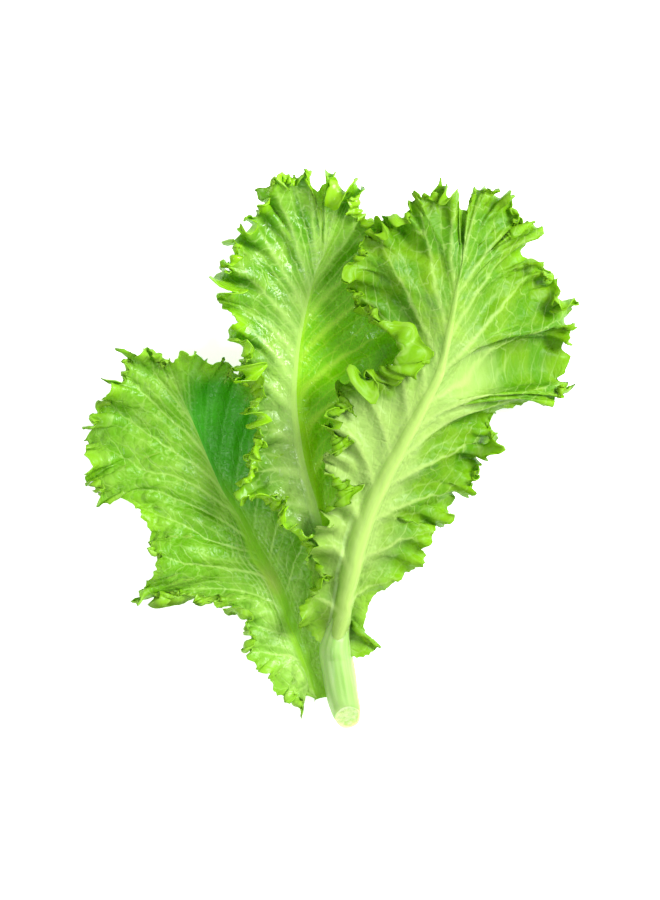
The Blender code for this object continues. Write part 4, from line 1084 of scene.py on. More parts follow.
for leaf in LEAVES:
    columns = [len(u) for u, _, _ in bands_of(leaf.left, GRIDS[leaf.name][0])]
    print(leaf.name, "left half has", columns, "columns from the rib to the margin")

# %% [markdown]
# ## Zipping the bands together
# Two neighbouring bands have different numbers of columns, so the gap between them is closed with
# triangles, like a zip. Triangles could be laid over all points at once, but then the rows wouldn't stay
# in line with the veins.

# %% One sheet for each leaf


def zip_rows(inner, outer):
    """Triangles between two rows of points, stepping along whichever row lags behind."""
    (ids_a, u_a), (ids_b, u_b) = inner, outer
    a, b, faces = 0, 0, []
    while a < len(ids_a) - 1 or b < len(ids_b) - 1:
        along_outer = a == len(ids_a) - 1
        if not along_outer and b < len(ids_b) - 1:
            along_outer = u_b[b] + u_b[b + 1] < u_a[a] + u_a[a + 1]
        if along_outer:
            faces.append((ids_a[a], ids_b[b], ids_b[b + 1]))
            b += 1
        else:
            faces.append((ids_a[a], ids_b[b], ids_a[a + 1]))
            a += 1
    return faces


def lattice(ids):
    """Squares between the points of a band."""
    corners = (ids[:-1, :-1], ids[:-1, 1:], ids[1:, 1:], ids[1:, :-1])
    return np.stack(corners, axis=-1).reshape(-1, 4)


def share_points(ids, band, kept):
    """Both halves use the same points along the rib and at the tip."""
    if band in kept:
        tip, rib = kept[band]
        ids[-1] = tip
        if band == 0:
            ids[:, 0] = rib
    else:
        kept[band] = ids[-1].copy(), ids[:, 0].copy()


def leaf_sheet(leaf, grids):
    """Points with their measures, squares and triangles of the middle of a leaf."""
    parts, squares, corners, kept, count = [], [], [], {}, 0
    for half, grid in zip((leaf.left, leaf.right), grids):
        before = None
        turn = 1 if half.hand < 0 else -1
        for band, (u, s, across) in enumerate(bands_of(half, grid)):
            got = sample(grid, np.broadcast_to(u[:, None], s.shape), s)
            got["across"] = across
            got["half"] = np.full(s.shape, float(half.hand))
            parts.append(got)
            ids = count + np.arange(s.size).reshape(s.shape)
            count += s.size
            share_points(ids, band, kept)
            squares.append(lattice(ids)[:, ::turn])
            if before is not None:
                corners += [face[::turn] for face in zip_rows(before, (ids[:, 0], u))]
            before = (ids[:, -1], u)
    sheet = {key: np.concatenate([part[key].reshape(-1, *part[key].shape[2:]) for part in parts])
             for key in parts[0]}
    return sheet, np.concatenate(squares), np.array(corners)


SHEETS = {leaf.name: leaf_sheet(leaf, GRIDS[leaf.name]) for leaf in LEAVES}
for name, (sheet, squares, corners) in SHEETS.items():
    print(name, len(sheet["p"]), "points,", len(squares), "squares,", len(corners), "triangles")

# %% [markdown]
# ## From the middle of a blade to its two faces
# A blade is less than half a millimetre thick, and its rib stands out on the back. It could stay a
# single sheet, but then it would have no volume for a printer or a slicer. So every point is moved up
# and down along its normal, far at the rib and little elsewhere.

# %% Thickness of a leaf
BLADE = 0.45  # thickness of a blade, in millimetres
RIB_FRONT = 0.2  # how far the rib stands out on the inner side, over its back
RIB_ROUND, RIB_BULGE = 1.1, 0.8  # how narrow the rib's crest is, and its height over the chosen depth
LEAST_SHEET = 0.45  # height of the upper face where a leaf is pressed on the sheet


def thickness(leaf, t, across):
    """Thickness above and below the middle of the blade, at a share of the rib's half width."""
    depth = np.interp(t, leaf.rib_t, leaf.rib_depth)
    bulge = RIB_BULGE * depth * np.cos(0.5 * math.pi * np.minimum(across, 1.0)) ** RIB_ROUND
    inner, back = BLADE / 2 + RIB_FRONT * bulge, BLADE / 2 + bulge
    return (back, inner) if leaf.back_up else (inner, back)


def rib_normals(leaf, grids):
    """Upward normal along the rib, midway between those of the two halves beside it."""
    t = rib_places(leaf)
    beside = np.full(len(t), BESIDE_RIB)
    return unit(sum(sample({"normal": grid["normal"]}, half.u_of(t), beside)["normal"]
                    for half, grid in zip((leaf.left, leaf.right), grids)))


def two_faces(leaf, sheet):
    """Points of the upper and the lower face. Neither sinks into the white sheet."""
    at_rib = read(sheet["run"], rib_places(leaf), rib_normals(leaf, GRIDS[leaf.name]))
    share = np.clip(sheet["across"], 0.0, 1.0)[:, None]
    normal = unit((1 - share) * at_rib + share * unit(sheet["normal"]))
    above, below = thickness(leaf, sheet["run"], sheet["across"])
    upper = sheet["p"] + normal * above[:, None]
    lower = sheet["p"] - normal * below[:, None]
    lower[:, 2] = np.maximum(lower[:, 2], 0.0)
    upper[:, 2] = np.maximum(upper[:, 2], LEAST_SHEET)
    return upper, lower


print("blades are", BLADE, "mm thick")

# %% [markdown]
# ## One closed skin for each leaf
# A strip round the free edge joins the two faces to a closed skin. Every point carries its measures as
# named attributes, and the finishes are drawn from them: how far it is from the margin, which side vein
# is near, and where the blade lay before it ruffled. Painted images could do that too, but they would
# blur up close.

# %% Build the leaves
BOX_MIDDLE = np.array((0.7, -2.4, 0.0))  # middle of the whole sprig, set over the origin
# The way goes from the rib (0) to the margin (1), and the run from the stem (0) to the tip (1). The half
# is 1 on the left and -1 on the right, and gap, edge and reach are millimetres.
CARRIED = ("vein", "gap", "edge", "way", "run", "across", "crest", "half", "reach")


def skin_faces(squares, corners, count):
    """Four-sided and three-sided faces of both sides of a sheet, with the strip round its edge."""
    edges = np.concatenate([faces[:, [k, (k + 1) % faces.shape[1]]] for faces in (squares, corners)
                            for k in range(faces.shape[1])])
    code, back = edges[:, 0] * count + edges[:, 1], edges[:, 1] * count + edges[:, 0]
    a, b = edges[~np.isin(code, back)].T
    strip = np.stack((b, a, a + count, b + count), axis=-1)
    quads = np.concatenate((squares, squares[:, ::-1] + count, strip))
    return quads, np.concatenate((corners, corners[:, ::-1] + count))


def mesh_of(name, points, quads, tris):
    """A mesh from arrays of points, in millimetres, and faces."""
    mesh = bpy.data.meshes.new(name)
    mesh.vertices.add(len(points))
    mesh.vertices.foreach_set("co", ((points - BOX_MIDDLE) * MM).astype(np.float32).ravel())
    mesh.loops.add(quads.size + tris.size)
    corners = np.concatenate((quads.ravel(), tris.ravel()))
    mesh.loops.foreach_set("vertex_index", corners.astype(np.int32))
    mesh.polygons.add(len(quads) + len(tris))
    starts = np.concatenate((np.arange(len(quads)) * 4, quads.size + np.arange(len(tris)) * 3))
    mesh.polygons.foreach_set("loop_start", starts.astype(np.int32))
    mesh.update(calc_edges=True)
    return mesh


def carry(mesh, name, values):
    """Stores a measure at every point of a mesh: one number, or three."""
    kind, field = ("FLOAT_VECTOR", "vector") if values.ndim == 2 else ("FLOAT", "value")
    layer = mesh.attributes.new(name, kind, "POINT")
    layer.data.foreach_set(field, values.astype(np.float32).ravel())


def add_leaf(leaf, piece_name):
    sheet, squares, corners = SHEETS[leaf.name]
    upper, lower = two_faces(leaf, sheet)
    used, ids = np.unique(np.concatenate((squares.ravel(), corners.ravel())), return_inverse=True)
    squares, corners = ids[:squares.size].reshape(-1, 4), ids[squares.size:].reshape(-1, 3)
    quads, tris = skin_faces(squares, corners, len(used))
    mesh = mesh_of(piece_name, np.concatenate((upper[used], lower[used])), quads, tris)
    for key in CARRIED:
        carry(mesh, key, np.tile(sheet[key][used], 2))
    carry(mesh, "flat", np.tile(sheet["flat"][used], (2, 1)))
    carry(mesh, "face", np.repeat((1.0, 0.0), len(used)))
    mesh.shade_smooth()
    piece = bpy.data.objects.new(piece_name, mesh)
    bpy.context.scene.collection.objects.link(piece)
    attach(piece, "root")
    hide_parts(leaf.name)
    print(piece_name, 2 * len(quads) + len(tris), "triangles")
    return piece


PIECES = {leaf.name: add_leaf(leaf, name) for leaf, name in
          zip(LEAVES, ("left_leaf", "middle_leaf", "right_leaf"))}

# %% [markdown]
# ## The stem
# The stem is what is left of the core that the leaves grew on: a lumpy, nearly round stub that was cut
# across at a slant. It could be a cylinder with noise on it, but its folds run lengthwise, so it is swept
# along a line of rings. More rings close both ends, and the cut face is sunk a little, as a wound dries.

# %% Rings of the stem
# Each row: x, y and z of the stem's middle, half its width and half its height, from the cut inwards.
STEM_LINE = (
    (7.6, -113.0, 6.7, 5.7, 5.9), (6.4, -108.5, 6.4, 6.3, 6.4), (5.2, -104.0, 6.6, 6.7, 6.7),
    (4.0, -97.5, 7.3, 7.0, 7.0), (3.0, -91.5, 8.2, 7.0, 7.0), (2.4, -87.5, 8.9, 7.0, 6.6),
    (2.2, -84.0, 9.8, 6.8, 6.6), (2.6, -80.5, 10.6, 6.2, 5.9), (3.6, -76.0, 11.8, 5.0, 4.2),
    (4.8, -71.0, 14.0, 3.6, 2.2),
)
STEM_RINGS, STEM_SIDES, CAP_RINGS = 90, 96, 12
# Each kind of lump: how many go round the stem, how far they twist, and their height over its width.
STEM_LUMPS = ((3, 5.0, 0.035), (5, -9.0, 0.018), (11, 3.0, 0.006), (17, -4.0, 0.003))
CUT_SLANT, CUT_FADE = 0.75, 0.12  # how far the cut slants, and how soon the rings stand straight
CUT_ROUND, CUT_ROUND_FADE = 0.06, 0.02  # how far the rim of the cut is rounded, and over what length
CAP_DISH, DISH_RIM = 0.5, 0.25  # how deep the cut face is sunk in millimetres, and its rim


def stem_rings():
    """Rings round the stem, where each is on its way from the cut, and which way it faces."""
    line = curve_through(STEM_LINE)
    place = np.linspace(0.0, 1.0, STEM_RINGS)
    line = read(place, distance_along(line) / distance_along(line)[-1], line)
    way = unit(np.gradient(line[:, :3], axis=0))
    angle = 2 * math.pi * np.arange(STEM_SIDES) / STEM_SIDES
    rings = []
    for k, (x, y, z, half_width, half_height) in enumerate(line):
        side = unit(np.cross(way[k], UP))
        up = np.cross(side, way[k])
        lump = 1.0 + sum(size * np.sin(fold * angle + twist * place[k])
                         for fold, twist, size in STEM_LUMPS)
        lump = lump - CUT_ROUND * np.exp(-((place[k] / CUT_ROUND_FADE) ** 2))
        back = CUT_SLANT * np.exp(-place[k] / CUT_FADE) * half_height * np.sin(angle)
        ring = (np.array((x, y, z)) + np.outer(half_width * lump * np.cos(angle), side)
                + np.outer(half_height * lump * np.sin(angle), up) + np.outer(back, way[k]))
        ring[:, 2] = np.maximum(ring[:, 2], 0.0)
        rings.append(ring)
    return rings, place, way


def closing_rings(ring, way, deep):
    """Smaller and smaller rings that close one end, sunk by a depth."""
    middle = ring.mean(axis=0)
    return [middle + (ring - middle) * share + way * (deep * ease((1.0 - share) / DISH_RIM))
            for share in np.linspace(1.0, 0.0, CAP_RINGS + 1)[1:]]


rings, place, way = stem_rings()
cut_end = closing_rings(rings[0], way[0], CAP_DISH)
far_end = closing_rings(rings[-1], way[-1], 0.0)
STEM = np.array(cut_end[::-1] + rings + far_end)
print("stem has", len(STEM), "rings of", STEM_SIDES, "points")

# %% [markdown]
# ## The stem's mesh
# The rings are joined with squares, and the points that meet in the middle of each end are merged. Its
# finish needs to know where the cut is and how far along the stem a point lies, so each point carries
# that too. A texture laid round it would show a seam.

# %% Join the rings
WELD = 1e-6  # metres: points nearer than this become one
CUT_EDGE = 6  # how sharply the colour of the cut changes at its rim


def stem_mesh(name):
    count, sides = STEM.shape[:2]
    ids = np.arange(count * sides).reshape(count, sides)
    following = np.roll(ids, -1, axis=1)
    faces = np.stack((ids[:-1], ids[1:], following[1:], following[:-1]), axis=-1).reshape(-1, 4)
    mesh = bpy.data.meshes.new(name)
    mesh.from_pydata(((STEM.reshape(-1, 3) - BOX_MIDDLE) * MM).tolist(), [], faces.tolist())
    rim = 1.0 - np.linspace(0.0, 1.0, CAP_RINGS + 1)[:-1] ** CUT_EDGE
    carry(mesh, "cut", np.repeat(np.concatenate((rim, np.zeros(count - CAP_RINGS))), sides))
    along = np.concatenate((np.zeros(CAP_RINGS), place, np.ones(CAP_RINGS)))
    carry(mesh, "along", np.repeat(along, sides))
    carry(mesh, "place", STEM.reshape(-1, 3))
    angle = 2 * math.pi * np.arange(sides) / sides
    turn = np.stack((np.cos(angle), np.sin(angle), np.zeros(sides)), axis=-1)
    carry(mesh, "turn", np.tile(turn, (count, 1)))
    return mesh


def add_stem(piece_name):
    mesh = stem_mesh(piece_name)
    work = bmesh.new()
    work.from_mesh(mesh)
    bmesh.ops.remove_doubles(work, verts=work.verts, dist=WELD)
    bmesh.ops.recalc_face_normals(work, faces=work.faces)
    work.to_mesh(mesh)
    work.free()
    mesh.shade_smooth()
    piece = bpy.data.objects.new(piece_name, mesh)
    bpy.context.scene.collection.objects.link(piece)
    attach(piece, "root")
    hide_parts("stem")
    print(piece_name, len(mesh.polygons), "faces")
    return piece


PIECES["stem"] = add_stem("cut_stem")

# %% [markdown]
# ## Finishes
# Lettuce is thin and wet, so part of the light goes through it. A glossy shader alone would look like
# painted card, and true scattering inside half a millimetre is slow to work out, so the skin mixes a
# glossy shader with one that passes light. Its colours come from many small masks, and these helpers keep
# each of them to one line.

# %% Small helpers for nodes


def feed(tree, socket, value):
    """A socket takes either a link or a plain value."""
    if isinstance(value, bpy.types.NodeSocket):
        tree.links.new(value, socket)
    else:
        socket.default_value = value


def maths(tree, operation, *values):
    node = tree.nodes.new("ShaderNodeMath")
    node.operation = operation
    for socket, value in zip(node.inputs, values):
        feed(tree, socket, value)
    return node.outputs[0]


def times(tree, first, *more):
    for value in more:
        first = maths(tree, "MULTIPLY", first, value)
    return first


def plus(tree, first, second):
    return maths(tree, "ADD", first, second)


def minus(tree, first, second):
    return maths(tree, "SUBTRACT", first, second)


def over(tree, first, second):
    return maths(tree, "DIVIDE", first, second)


def ramp(tree, value, start, end, low=0.0, high=1.0):
    """Eases from low at start to high at end, and stays there."""
    node = tree.nodes.new("ShaderNodeMapRange")
    node.interpolation_type = "SMOOTHSTEP"
    for label, number in (("Value", value), ("From Min", start), ("From Max", end), ("To Min", low),
                          ("To Max", high)):
        feed(tree, node.inputs[label], number)
    return node.outputs["Result"]


def blend(tree, share, first, second):
    """Mixes two colours."""
    node = tree.nodes.new("ShaderNodeMix")
    node.data_type = "RGBA"
    feed(tree, node.inputs[0], share)
    feed(tree, node.inputs[6], first)
    feed(tree, node.inputs[7], second)
    return node.outputs[2]


print("a ramp eases between two values, and a blend between two colours")

# %% [markdown]
# ## Reading the mesh
# The masks read the measures that the mesh carries, and a noise that is laid on the flat blade, so
# that it follows the leaf. Effects that several leaves share are kept in node groups. They could be
# copied into each finish, but then a change would have to be made three times.

# %% Measures, noise and groups
FLOAT, VECTOR = "NodeSocketFloat", "NodeSocketVector"


def opaque(colour):
    return (*colour, 1.0)


def measure(tree, name, output="Fac"):
    """Reads an attribute of the mesh."""
    node = tree.nodes.new("ShaderNodeAttribute")
    node.attribute_name = name
    return node.outputs[output]


def noise(tree, place, scale, detail=2.0, roughness=0.5):
    node = tree.nodes.new("ShaderNodeTexNoise")
    tree.links.new(place, node.inputs["Vector"])
    node.inputs["Scale"].default_value = scale
    node.inputs["Detail"].default_value = detail
    node.inputs["Roughness"].default_value = roughness
    return node.outputs["Fac"]


def off_middle(tree, value):
    """How far a number is from the middle between two whole ones."""
    return maths(tree, "ABSOLUTE", minus(tree, maths(tree, "FRACT", value), 0.5))


def new_group(name, inputs, outputs):
    """An empty node group with named sockets."""
    tree = bpy.data.node_groups.new(name, "ShaderNodeTree")
    for label, kind, value in inputs:
        socket = tree.interface.new_socket(label, in_out="INPUT", socket_type=kind)
        if kind == FLOAT:
            socket.default_value = value
    for label, kind in outputs:
        tree.interface.new_socket(label, in_out="OUTPUT", socket_type=kind)
    return tree, tree.nodes.new("NodeGroupInput").outputs, tree.nodes.new("NodeGroupOutput").inputs


def use_group(tree, group, **values):
    node = tree.nodes.new("ShaderNodeGroup")
    node.node_tree = group
    for label, value in values.items():
        feed(tree, node.inputs[label.replace("_", " ")], value)
    return node.outputs


print("measures carried by a leaf:", ", ".join(CARRIED))

# %% [markdown]
# ## Side veins as a group
# The mesh says at each point which side vein is nearest and how wide the gap to the next is, so its
# distance is known in millimetres, and a line of any width can be drawn there. Painted veins would blur.
# Branches leave it every few millimetres and lean forward to the middle of the gap.

# %% Side vein group
VEIN_NOISE, VEIN_SHIFT = 0.16, 0.22  # scale of the noise that bends a vein, and how far it is bent
VEIN_TAPER = (0.0, 0.9)  # where it starts and ends to grow thin, on the way to the margin
VEIN_EDGE, POCKET_EDGE = (0.15, 1.0), (0.6, 2.6)  # its edge and the pocket's, over its width
MINOR_COUNT, MINOR_EDGE = 3.0, (0.55, 0.12)  # smaller veins for each gap, and their edge in mm
BRANCH_STEP = 6.4  # distance between two branches of a vein, in millimetres
BRANCH_LEAN = 0.75  # how far a branch runs forward for each millimetre that it runs aside
BRANCH_BEND = 7.0  # how far the same noise bends it, in millimetres
BRANCH_TURN = (2.4, 1.3)  # radians by which branches of the next vein and the other side differ
BRANCH_SHIFT = 0.5  # what that shifts them by, over their distance
BRANCH_UPRIGHT = 0.8  # a leaning line is this much narrower than its spacing says
BRANCH_EDGE, BRANCH_FADE = (0.2, 1.4), (0.5, 0.2, 0.35, 1.0)  # its edge, and fading in the pocket


def branch_lines(tree, given, bend, nearest, side, apart):
    """Lines that leave a side vein at even steps and lean forward."""
    forward = maths(tree, "MULTIPLY_ADD", apart, -BRANCH_LEAN, times(tree, given["Way"], given["Reach"]))
    forward = maths(tree, "MULTIPLY_ADD", bend, BRANCH_BEND, forward)
    turn = maths(tree, "MULTIPLY_ADD", nearest, BRANCH_TURN[0], times(tree, side, BRANCH_TURN[1]))
    shift = times(tree, maths(tree, "SINE", turn), BRANCH_SHIFT)
    step = plus(tree, over(tree, forward, BRANCH_STEP), shift)
    away = times(tree, off_middle(tree, step), BRANCH_STEP * BRANCH_UPRIGHT)
    return minus(tree, 1.0, ramp(tree, over(tree, away, given["Branch Width"]), *BRANCH_EDGE))


def side_vein_group():
    tree, given, out = new_group(
        "Side veins",
        (("Place", VECTOR, None), ("Vein", FLOAT, 0.0), ("Gap", FLOAT, 10.0), ("Way", FLOAT, 0.5),
         ("Reach", FLOAT, 40.0), ("Root Width", FLOAT, 1.2), ("End Width", FLOAT, 0.3),
         ("Branch Width", FLOAT, 0.35)),
        (("Veins", FLOAT), ("Minor", FLOAT), ("Branches", FLOAT), ("Pocket", FLOAT)))
    bend = minus(tree, noise(tree, given["Place"], VEIN_NOISE), 0.5)
    count = maths(tree, "MULTIPLY_ADD", bend, VEIN_SHIFT, given["Vein"])
    nearest = maths(tree, "FLOOR", plus(tree, count, 0.5))
    signed = minus(tree, count, nearest)
    off = maths(tree, "ABSOLUTE", signed)
    apart = times(tree, off, given["Gap"])
    width = ramp(tree, given["Way"], *VEIN_TAPER, given["Root Width"], given["End Width"])
    across = over(tree, apart, width)
    feed(tree, out["Veins"], minus(tree, 1.0, ramp(tree, across, *VEIN_EDGE)))
    feed(tree, out["Pocket"], ramp(tree, across, *POCKET_EDGE))
    minor = off_middle(tree, maths(tree, "MULTIPLY_ADD", count, MINOR_COUNT, 0.5))
    minor = times(tree, minor, over(tree, given["Gap"], MINOR_COUNT))
    feed(tree, out["Minor"], ramp(tree, minor, *MINOR_EDGE))
    lines = branch_lines(tree, given, bend, nearest, maths(tree, "SIGN", signed), apart)
    feed(tree, out["Branches"], times(tree, lines, ramp(tree, off, *BRANCH_FADE)))
    return tree


SIDE_VEIN_GROUP = side_vein_group()
print("side vein group:", len(SIDE_VEIN_GROUP.nodes), "nodes")

# %% [markdown]
# ## A fine net of veins as a group
# Between the branches the smallest veins close into a net. Cells of a Voronoi pattern have the same
# look, and their edges can be drawn thin. The pattern is laid on the blade as it was before it
# ruffled, so that it follows the leaf and not the space round it.

# %% Vein net group
NET_NOISE = 0.35  # scale of the noise that bends the net
SWELL_EDGE = 0.35  # how far in the skin swells between the net's veins, over a cell's size


def vein_net_group():
    tree, given, out = new_group(
        "Vein net",
        (("Place", VECTOR, None), ("Cell", FLOAT, 4.5), ("Line", FLOAT, 0.07), ("Bend", FLOAT, 0.8)),
        (("Net", FLOAT), ("Swell", FLOAT)))
    warp = tree.nodes.new("ShaderNodeTexNoise")
    tree.links.new(given["Place"], warp.inputs["Vector"])
    warp.inputs["Scale"].default_value = NET_NOISE
    shift = tree.nodes.new("ShaderNodeVectorMath")
    shift.operation = "MULTIPLY_ADD"
    tree.links.new(warp.outputs["Color"], shift.inputs[0])
    tree.links.new(given["Bend"], shift.inputs[1])
    tree.links.new(given["Place"], shift.inputs[2])
    scaled = tree.nodes.new("ShaderNodeVectorMath")
    scaled.operation = "SCALE"
    tree.links.new(shift.outputs[0], scaled.inputs[0])
    tree.links.new(over(tree, 1.0, given["Cell"]), scaled.inputs["Scale"])
    voronoi = tree.nodes.new("ShaderNodeTexVoronoi")
    voronoi.feature = "DISTANCE_TO_EDGE"
    voronoi.inputs["Scale"].default_value = 1.0
    tree.links.new(scaled.outputs[0], voronoi.inputs["Vector"])
    edge = voronoi.outputs["Distance"]
    feed(tree, out["Net"], minus(tree, 1.0, ramp(tree, edge, 0.0, given["Line"])))
    feed(tree, out["Swell"], ramp(tree, edge, 0.0, SWELL_EDGE))
    return tree


VEIN_NET_GROUP = vein_net_group()
print("vein net group:", len(VEIN_NET_GROUP.nodes), "nodes")

# %% [markdown]
# ## Masks on a leaf
# Most colours of a leaf lie in a certain place: beside the rib, at the margin, near the stem or on one
# half only. Such a place is a product of ramps over the measures that the mesh carries. It could be
# painted by hand, but a mask in numbers keeps its place when the shape changes.

# %% Measures and masks of a leaf
PATCH_NOISE, PATCH_DETAIL = 0.09, 3.0  # scale and detail of the leaf's large soft patches
VEIN_END, BRANCH_WIDTH = 0.45, 0.34  # widths of a vein's end and of a branch, in millimetres
NET_CELL, NET_LINE, NET_BEND = 3.6, 0.1, 2.0  # size of a cell, width of its edge and how it bends
# The face that lies down is duller. A mask's numbers are the measure at which a ramp starts, the one
# at which it ends, and what it goes from and to, where that isn't from 0 to 1.
LYING_DOWN = ("face", 0.6, 0.4, 0.0, 0.85)
MASKED = ("way", "edge", "run", "across", "half", "crest", "face")


class Blade:
    """The nodes of one leaf's finish and the measures and veins that its masks are made of."""

    def __init__(self, name, root_width):
        self.material = bpy.data.materials.new(name)
        self.material.use_nodes = True
        self.tree = tree = self.material.node_tree
        self.flat = measure(tree, "flat", "Vector")
        self.at = {key: measure(tree, key) for key in MASKED}
        reach = measure(tree, "reach")
        self.veins = use_group(tree, SIDE_VEIN_GROUP, Place=self.flat, Vein=measure(tree, "vein"),
                               Gap=measure(tree, "gap"), Way=self.at["way"], Reach=reach,
                               Root_Width=root_width, End_Width=VEIN_END, Branch_Width=BRANCH_WIDTH)
        self.net = use_group(tree, VEIN_NET_GROUP, Place=self.flat, Cell=NET_CELL, Line=NET_LINE,
                             Bend=NET_BEND)
        self.at["patches"] = noise(tree, self.flat, PATCH_NOISE, PATCH_DETAIL)
        self.at["beside"] = times(tree, self.at["way"], reach)
        self.at["below"] = self.mask(LYING_DOWN)

    def mask(self, *ramps):
        """Ramps over the named measures, multiplied together."""
        return times(self.tree, *(ramp(self.tree, self.at[name], *limits) for name, *limits in ramps))


print("cells of the net are", NET_CELL, "mm wide")

# %% [markdown]
# ## Greens of the blade
# A blade isn't one green. The deep green gathers in the pockets between its veins, the thin margin is a
# bright lime, and soft patches lie over all of it. The hollows of its ruffles are darkened too, which is
# painted shade. The half that turns away from the lamp gets a deeper green of its own, also painted
# shade: shadows alone would make that half grey.

# %% Greens
SHADED_HALF = (("half", 0.5, -0.5), ("edge", 3.0, 16.0, 0.3, 0.9))  # painted shade on the half that turns away from the lamp, weaker at its margin
SHADE_START = 0.3  # how long that painted shade takes to set in along the rib
SHADED_VEIN = (2.0, 1.2, 0.03)  # veins under that painted shade: red and green over those of its green, and blue
SHADED_RIB = ("half", 0.7, -0.4)  # from where to where the rib takes a painted shade, on its side away from the lamp
BELOW_DEEP = 0.75  # the deep green of the lower face, over its light green
PATCHY = ("patches", 0.35, 0.68)  # from deep to light green
POCKETS, POCKET_LEAST = (0.3, 0.62), 0.35  # pockets are deeper in some patches than in others
POCKET_MARGIN = ("way", 1.0, 0.75, 0.25, 1.0)  # they are fainter at the margin
LIME_UNEVEN, LIME_EDGE = 9.0, (12.0, 0.5, 0.0, 0.85)  # how uneven the lime margin is, and its width
SHADED_HOLLOWS = (("crest", 0.1, -0.9), ("edge", 15.0, 3.0))  # painted shade in the hollows of the ruffles, near the margin


def tones(blade, look):
    """The deep and the light green of a leaf, and the colours of its veins and its rib, all with painted
    shade on the half that turns away from the lamp.
    """
    tree = blade.tree
    dark, light, vein, rib = (opaque(look[key]) for key in ("deep", "mid", "pale", "cream"))
    if look["shade"]:
        red, green, _ = look["shade"]
        start = look["shade_from"]
        away = blade.mask(*SHADED_HALF, ("run", 1.0, look["shade_to"]), ("run", start, start + SHADE_START))
        dark, light = (blend(tree, away, tone, opaque(look["shade"])) for tone in (dark, light))
        vein = blend(tree, away, vein, (red * SHADED_VEIN[0], green * SHADED_VEIN[1], SHADED_VEIN[2], 1.0))
        rib = blend(tree, blade.mask(SHADED_RIB), rib, opaque(look["rib_shaded_side"]))
    light = blend(tree, blade.at["below"], light, opaque(look["under"]))
    under_deep = opaque(BELOW_DEEP * part for part in look["under"])
    dark = blend(tree, blade.at["below"], dark, under_deep)
    return dark, light, vein, rib


def greens(blade, look, dark, light):
    """The blade's colour without its veins, with painted shade in the hollows of its ruffles."""
    tree = blade.tree
    colour = blend(tree, blade.mask(PATCHY), dark, light)
    deep = ("patches", *POCKETS, look["pocket"], POCKET_LEAST * look["pocket"])
    pocket = times(tree, blade.veins["Pocket"], blade.mask(deep), blade.mask(POCKET_MARGIN))
    colour = blend(tree, pocket, colour, dark)
    patches = minus(tree, blade.at["patches"], 0.5)
    margin = maths(tree, "MULTIPLY_ADD", patches, LIME_UNEVEN, blade.at["edge"])
    colour = blend(tree, ramp(tree, margin, *LIME_EDGE), colour, opaque(look["lime"]))
    return blend(tree, times(tree, blade.mask(*SHADED_HOLLOWS), look["hollow_shade_share"]), colour, dark)


print("the lime margin starts", LIME_EDGE[0], "mm from the edge")

# %% [markdown]
# ## Veins and the pale wash beside the rib
# Veins are drawn over the greens from the finest to the thickest. Beside the rib of the middle and right
# leaves the blade is washed pale, and the wash reaches out farther in some places. Partly that is the
# blade's own paler colour, as it is thicker there, and partly painted light: on the middle leaf only the
# half that faces the lamp is washed, and on the right leaf the wash reaches farthest over the half that
# turns away from the lamp, to lift its shade. One ramp from the rib would make a band with a straight
# side, so patches break it up.

# %% Veins and wash
BRANCHES, BRANCH_LOW, BRANCH_HIGH = ("edge", 0.0, 14.0), 0.15, 0.5  # fainter at the margin
MINORS = ("way", 0.95, 0.4, 0.0)  # smaller veins end before the margin
MAINS, MAIN_LOW = ("way", 1.0, 0.1), 0.3  # main veins reach it, at this share
MAIN_TIP = ("run", 1.0, 0.5, 0.45, 1.0)  # main veins are fainter towards the tip
NEAR_STEM = ("run", 0.45, 0.0)  # where the blade is pale all over
# Where the wash reaches out farther, on the right half and on the left. On the right leaf's left half,
# which turns away from the lamp, it is painted light.
WIDE_RIGHT = (("run", 0.5, 0.6), ("run", 0.8, 0.68), ("half", 0.5, -0.5))
PAINTED_LIGHT_LEFT = (("run", 0.2, 0.34), ("run", 0.6, 0.5), ("half", -0.5, 0.5))
# Millimetres by which patches shift the wash, and past its reach where it ends and where it is full.
WASH_UNEVEN, WASH_OUT, WASH_IN = 26.0, 20.0, 4.0
WASH_ENDS = (("run", 1.0, 0.6), ("run", 0.1, 0.3, 0.3, 1.0))  # fainter at the tip and at the stem
# the half that faces the lamp: on a leaf with painted shade only it is washed, as painted light
LIT_HALF = ("half", -0.5, 0.5)
WASH_ABOVE = ("below", 0.5, 0.1, 0.0)  # only on the face that lies up


def veined(blade, look, colour, tone):
    """The colour with its net, branches, smaller and main veins, and pale near the stem."""
    tree, share = blade.tree, look["vein_share"]
    branch = blade.mask((*BRANCHES, BRANCH_LOW, BRANCH_HIGH * share))
    main = blade.mask((*MAINS, MAIN_LOW * share, share), MAIN_TIP)
    stem = blade.mask(NEAR_STEM, ("way", look["base_reach"], 0.0))
    for pale in (times(tree, blade.net["Net"], look["net_share"]),
                 times(tree, blade.veins["Branches"], branch),
                 times(tree, blade.veins["Minor"], blade.mask((*MINORS, look["minor_share"]))),
                 times(tree, blade.veins["Veins"], main),
                 times(tree, stem, look["base_share"])):
        colour = blend(tree, pale, colour, tone)
    return colour


def washed(blade, look, colour, tone):
    """The colour with the pale wash beside the rib, partly painted light."""
    tree = blade.tree
    wide = plus(tree, blade.mask(*WIDE_RIGHT), blade.mask(*PAINTED_LIGHT_LEFT))
    far = times(tree, wide, look["wash_far"])
    place = maths(tree, "MULTIPLY_ADD", blade.at["patches"], WASH_UNEVEN, blade.at["beside"])
    wash = ramp(tree, place, plus(tree, far, look["wash_reach"] + WASH_OUT),
                plus(tree, far, look["wash_reach"] + WASH_IN))
    if look["shade"]:
        wash = times(tree, wash, blade.mask(LIT_HALF))
    wash = times(tree, wash, blade.mask(*WASH_ENDS), blade.mask((*WASH_ABOVE, look["wash_share"])))
    return blend(tree, wash, colour, tone)


print("patches shift the wash by up to", WASH_UNEVEN, "mm")
